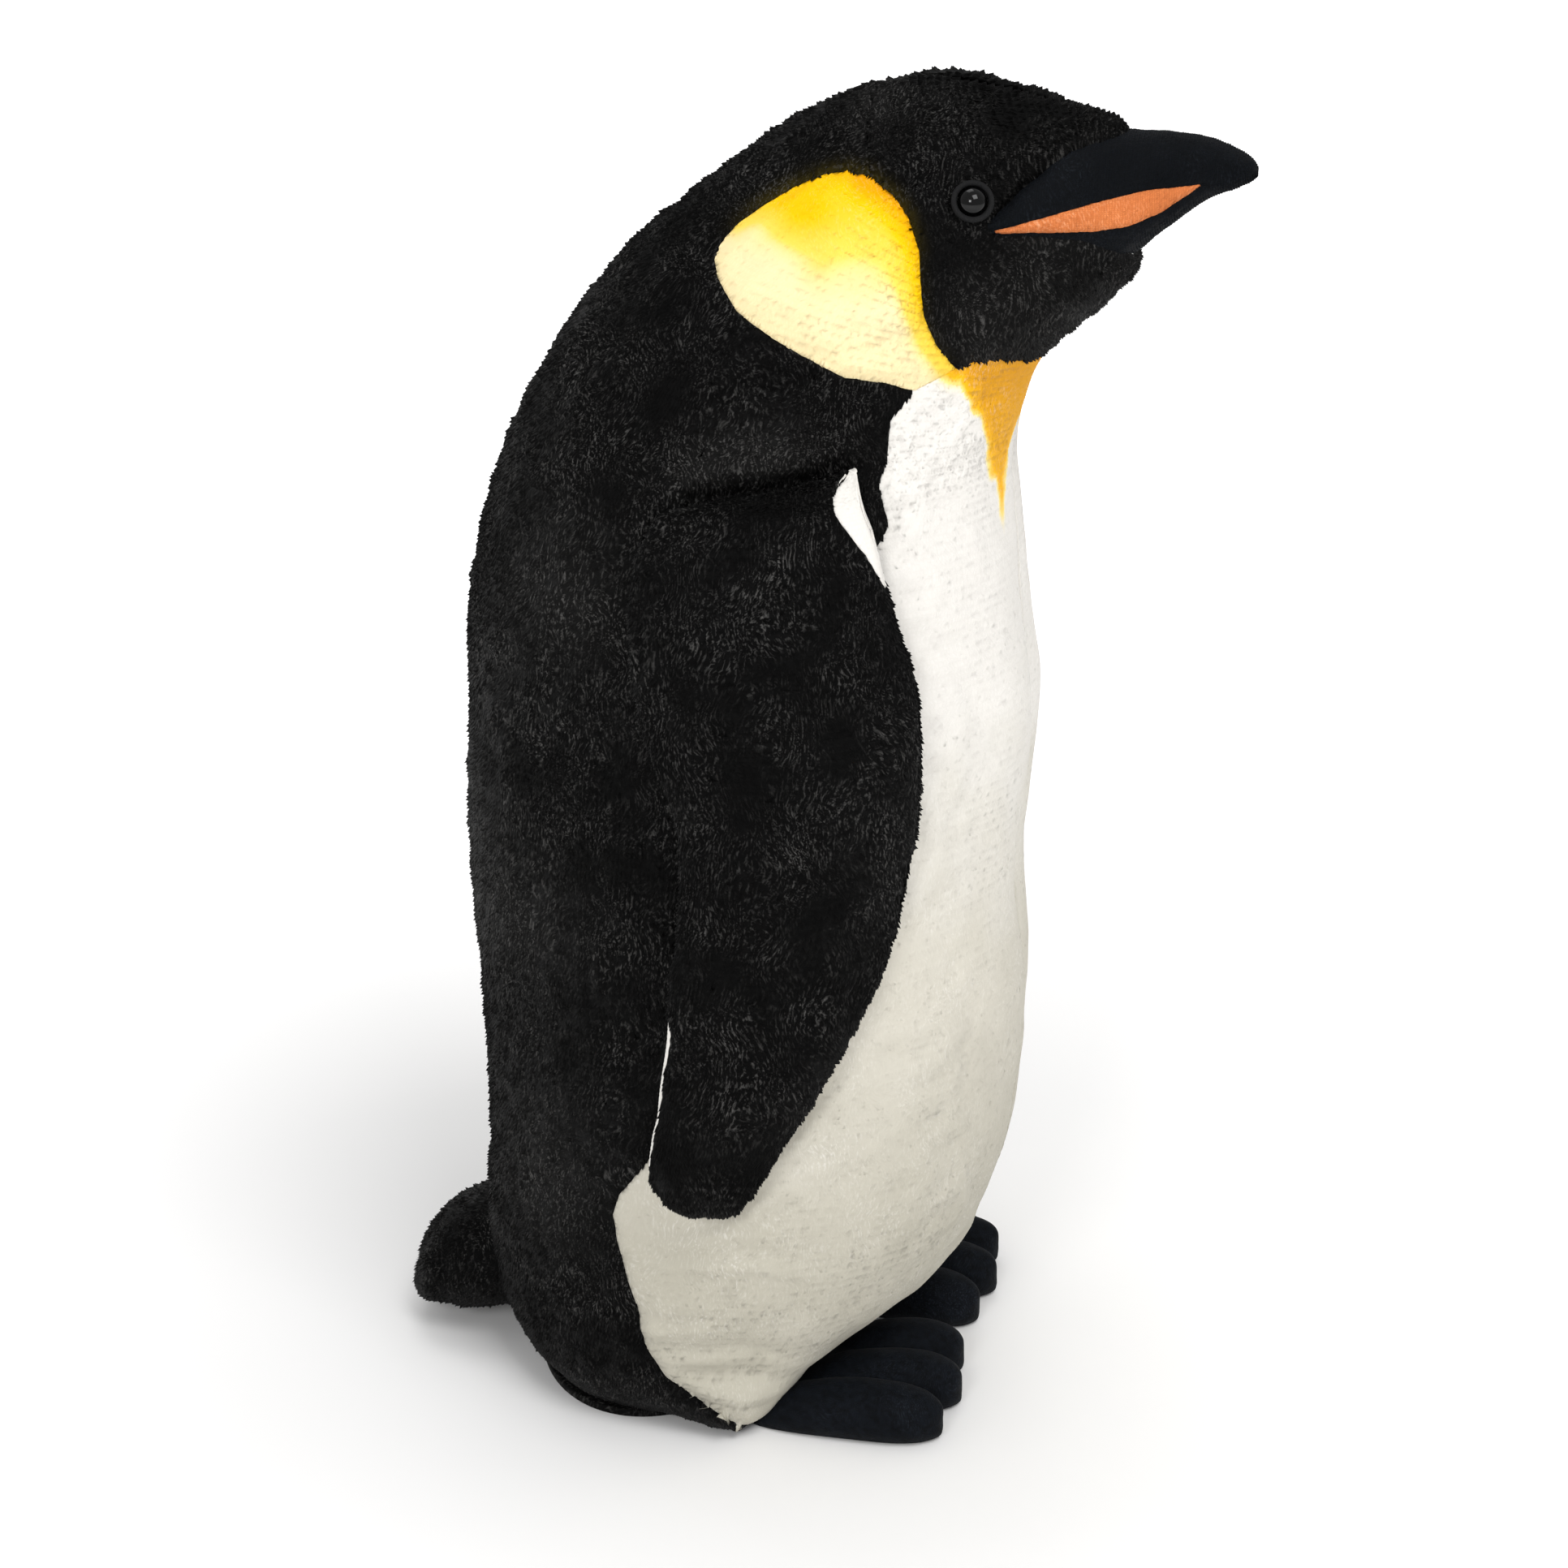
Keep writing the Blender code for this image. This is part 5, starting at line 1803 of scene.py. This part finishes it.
@dataclass
class Studio:
    """Plain floor, soft light and the camera."""

    camera_at: tuple[float, float, float] = (-1.56788, -0.34899, 0.9)
    look_at: tuple[float, float, float] = (0.0, -0.03, 0.28207)
    lens: float = 86.23
    sensor: float = 36.0
    world_strength: float = 0.55
    light_aim: tuple[float, float, float] = (0.0, 0.0, 0.3)
    floor_half_size: float = 12.0
    # The floor's glow is painted light: emission from the first value near the toy to the second further
    # out.
    floor_glow: tuple[float, float] = (0.02, 0.50)
    glow_reach: tuple[float, float] = (0.15, 1.3)

    # Area lights: (name, place, size, power).
    LIGHTS = (
        ("key", (-2.6, -2.2, 5.0), 2.8, 150.0),
        ("fill", (-4.4, 0.4, 2.6), 1.2, 60.0),
        ("top", (1.4, 0.9, 4.6), 2.2, 30.0),
    )

    def build(self) -> None:
        """Set up the studio."""
        scene = bpy.context.scene
        scene.view_settings.view_transform = "Standard"
        self._floor()
        world = bpy.data.worlds.new("studio")
        world.use_nodes = True
        background = world.node_tree.nodes["Background"]
        background.inputs["Color"].default_value = (1.0, 1.0, 1.0, 1.0)
        background.inputs["Strength"].default_value = self.world_strength
        scene.world = world
        for name, place, size, power in self.LIGHTS:
            self._softbox(name, place, size, power)
        camera = bpy.data.cameras.new("camera")
        camera.lens = self.lens
        camera.sensor_width = self.sensor
        holder = bpy.data.objects.new("camera", camera)
        holder.location = self.camera_at
        aim = Vector(self.look_at) - Vector(self.camera_at)
        holder.rotation_euler = aim.to_track_quat("-Z", "Y").to_euler()
        scene.collection.objects.link(holder)
        scene.camera = holder

    def _softbox(self, name: str, place: tuple[float, float, float], size: float, power: float) -> None:
        """Add one area light aimed at the toy."""
        light = bpy.data.lights.new(name, "AREA")
        light.energy = power
        light.size = size
        holder = bpy.data.objects.new(name, light)
        holder.location = place
        aim = Vector(self.light_aim) - Vector(place)
        holder.rotation_euler = aim.to_track_quat("-Z", "Y").to_euler()
        bpy.context.scene.collection.objects.link(holder)

    def _floor(self) -> None:
        """Add the pale floor; it glows as painted light, faintly near the toy and more strongly further
        out.
        """
        shape = bmesh.new()
        bmesh.ops.create_grid(shape, x_segments=1, y_segments=1, size=self.floor_half_size)
        mesh = bpy.data.meshes.new("floor")
        shape.to_mesh(mesh)
        shape.free()
        nodes = Nodes.fresh("pale_floor")
        shader = nodes.shader
        shader.inputs["Base Color"].default_value = (0.93, 0.925, 0.92, 1.0)
        shader.inputs["Roughness"].default_value = 0.9
        shader.inputs["Emission Color"].default_value = (1.0, 1.0, 1.0, 1.0)
        place = nodes.add("ShaderNodeTexCoord").outputs["Object"]
        distance = nodes.add("ShaderNodeVectorMath", operation="LENGTH")
        nodes.join(place, distance.inputs[0])
        spread = nodes.window(distance.outputs["Value"], *self.glow_reach)
        nodes.join(nodes.scaled(spread, *self.floor_glow), shader.inputs["Emission Strength"])
        mesh.materials.append(nodes.material)
        link_piece("floor", mesh)


def body_tree(form: OvalSweep) -> BVHTree:
    """Ray-casting tree of the plain body form."""
    sheet = ClothSheet(form, (-0.25, 0.75), 8.0 * MM)
    tree = BVHTree.FromPolygons([Vector(place) for place in sheet.places], sheet.quads.tolist())
    bpy.data.meshes.remove(sheet.mesh)
    return tree


def main() -> None:
    logging.basicConfig(level=logging.INFO, format="%(name)s: %(message)s")
    wardrobe = Wardrobe()
    Studio().build()
    cover = BodyCover(wardrobe)
    made = cover.build()
    tree = body_tree(cover.form)
    for side in Side:
        made += Flipper(side, wardrobe, tree).build()
    made += Tail(wardrobe).build()
    made += Beak(wardrobe).build()
    for side in Side:
        made += Foot(side, wardrobe).build()
        made += Eye(side, wardrobe).build()
    made.append(BasePanel(wardrobe).build())
    for sheet in [mesh for mesh in bpy.data.meshes if mesh.users == 0]:
        bpy.data.meshes.remove(sheet)
    for piece in made:
        LOG.info("%s: %d faces", piece.name, len(piece.data.polygons))
    LOG.info("%d hidden nodes dressed", HiddenParts(wardrobe).dress())


if __name__ == "__main__":
    main()
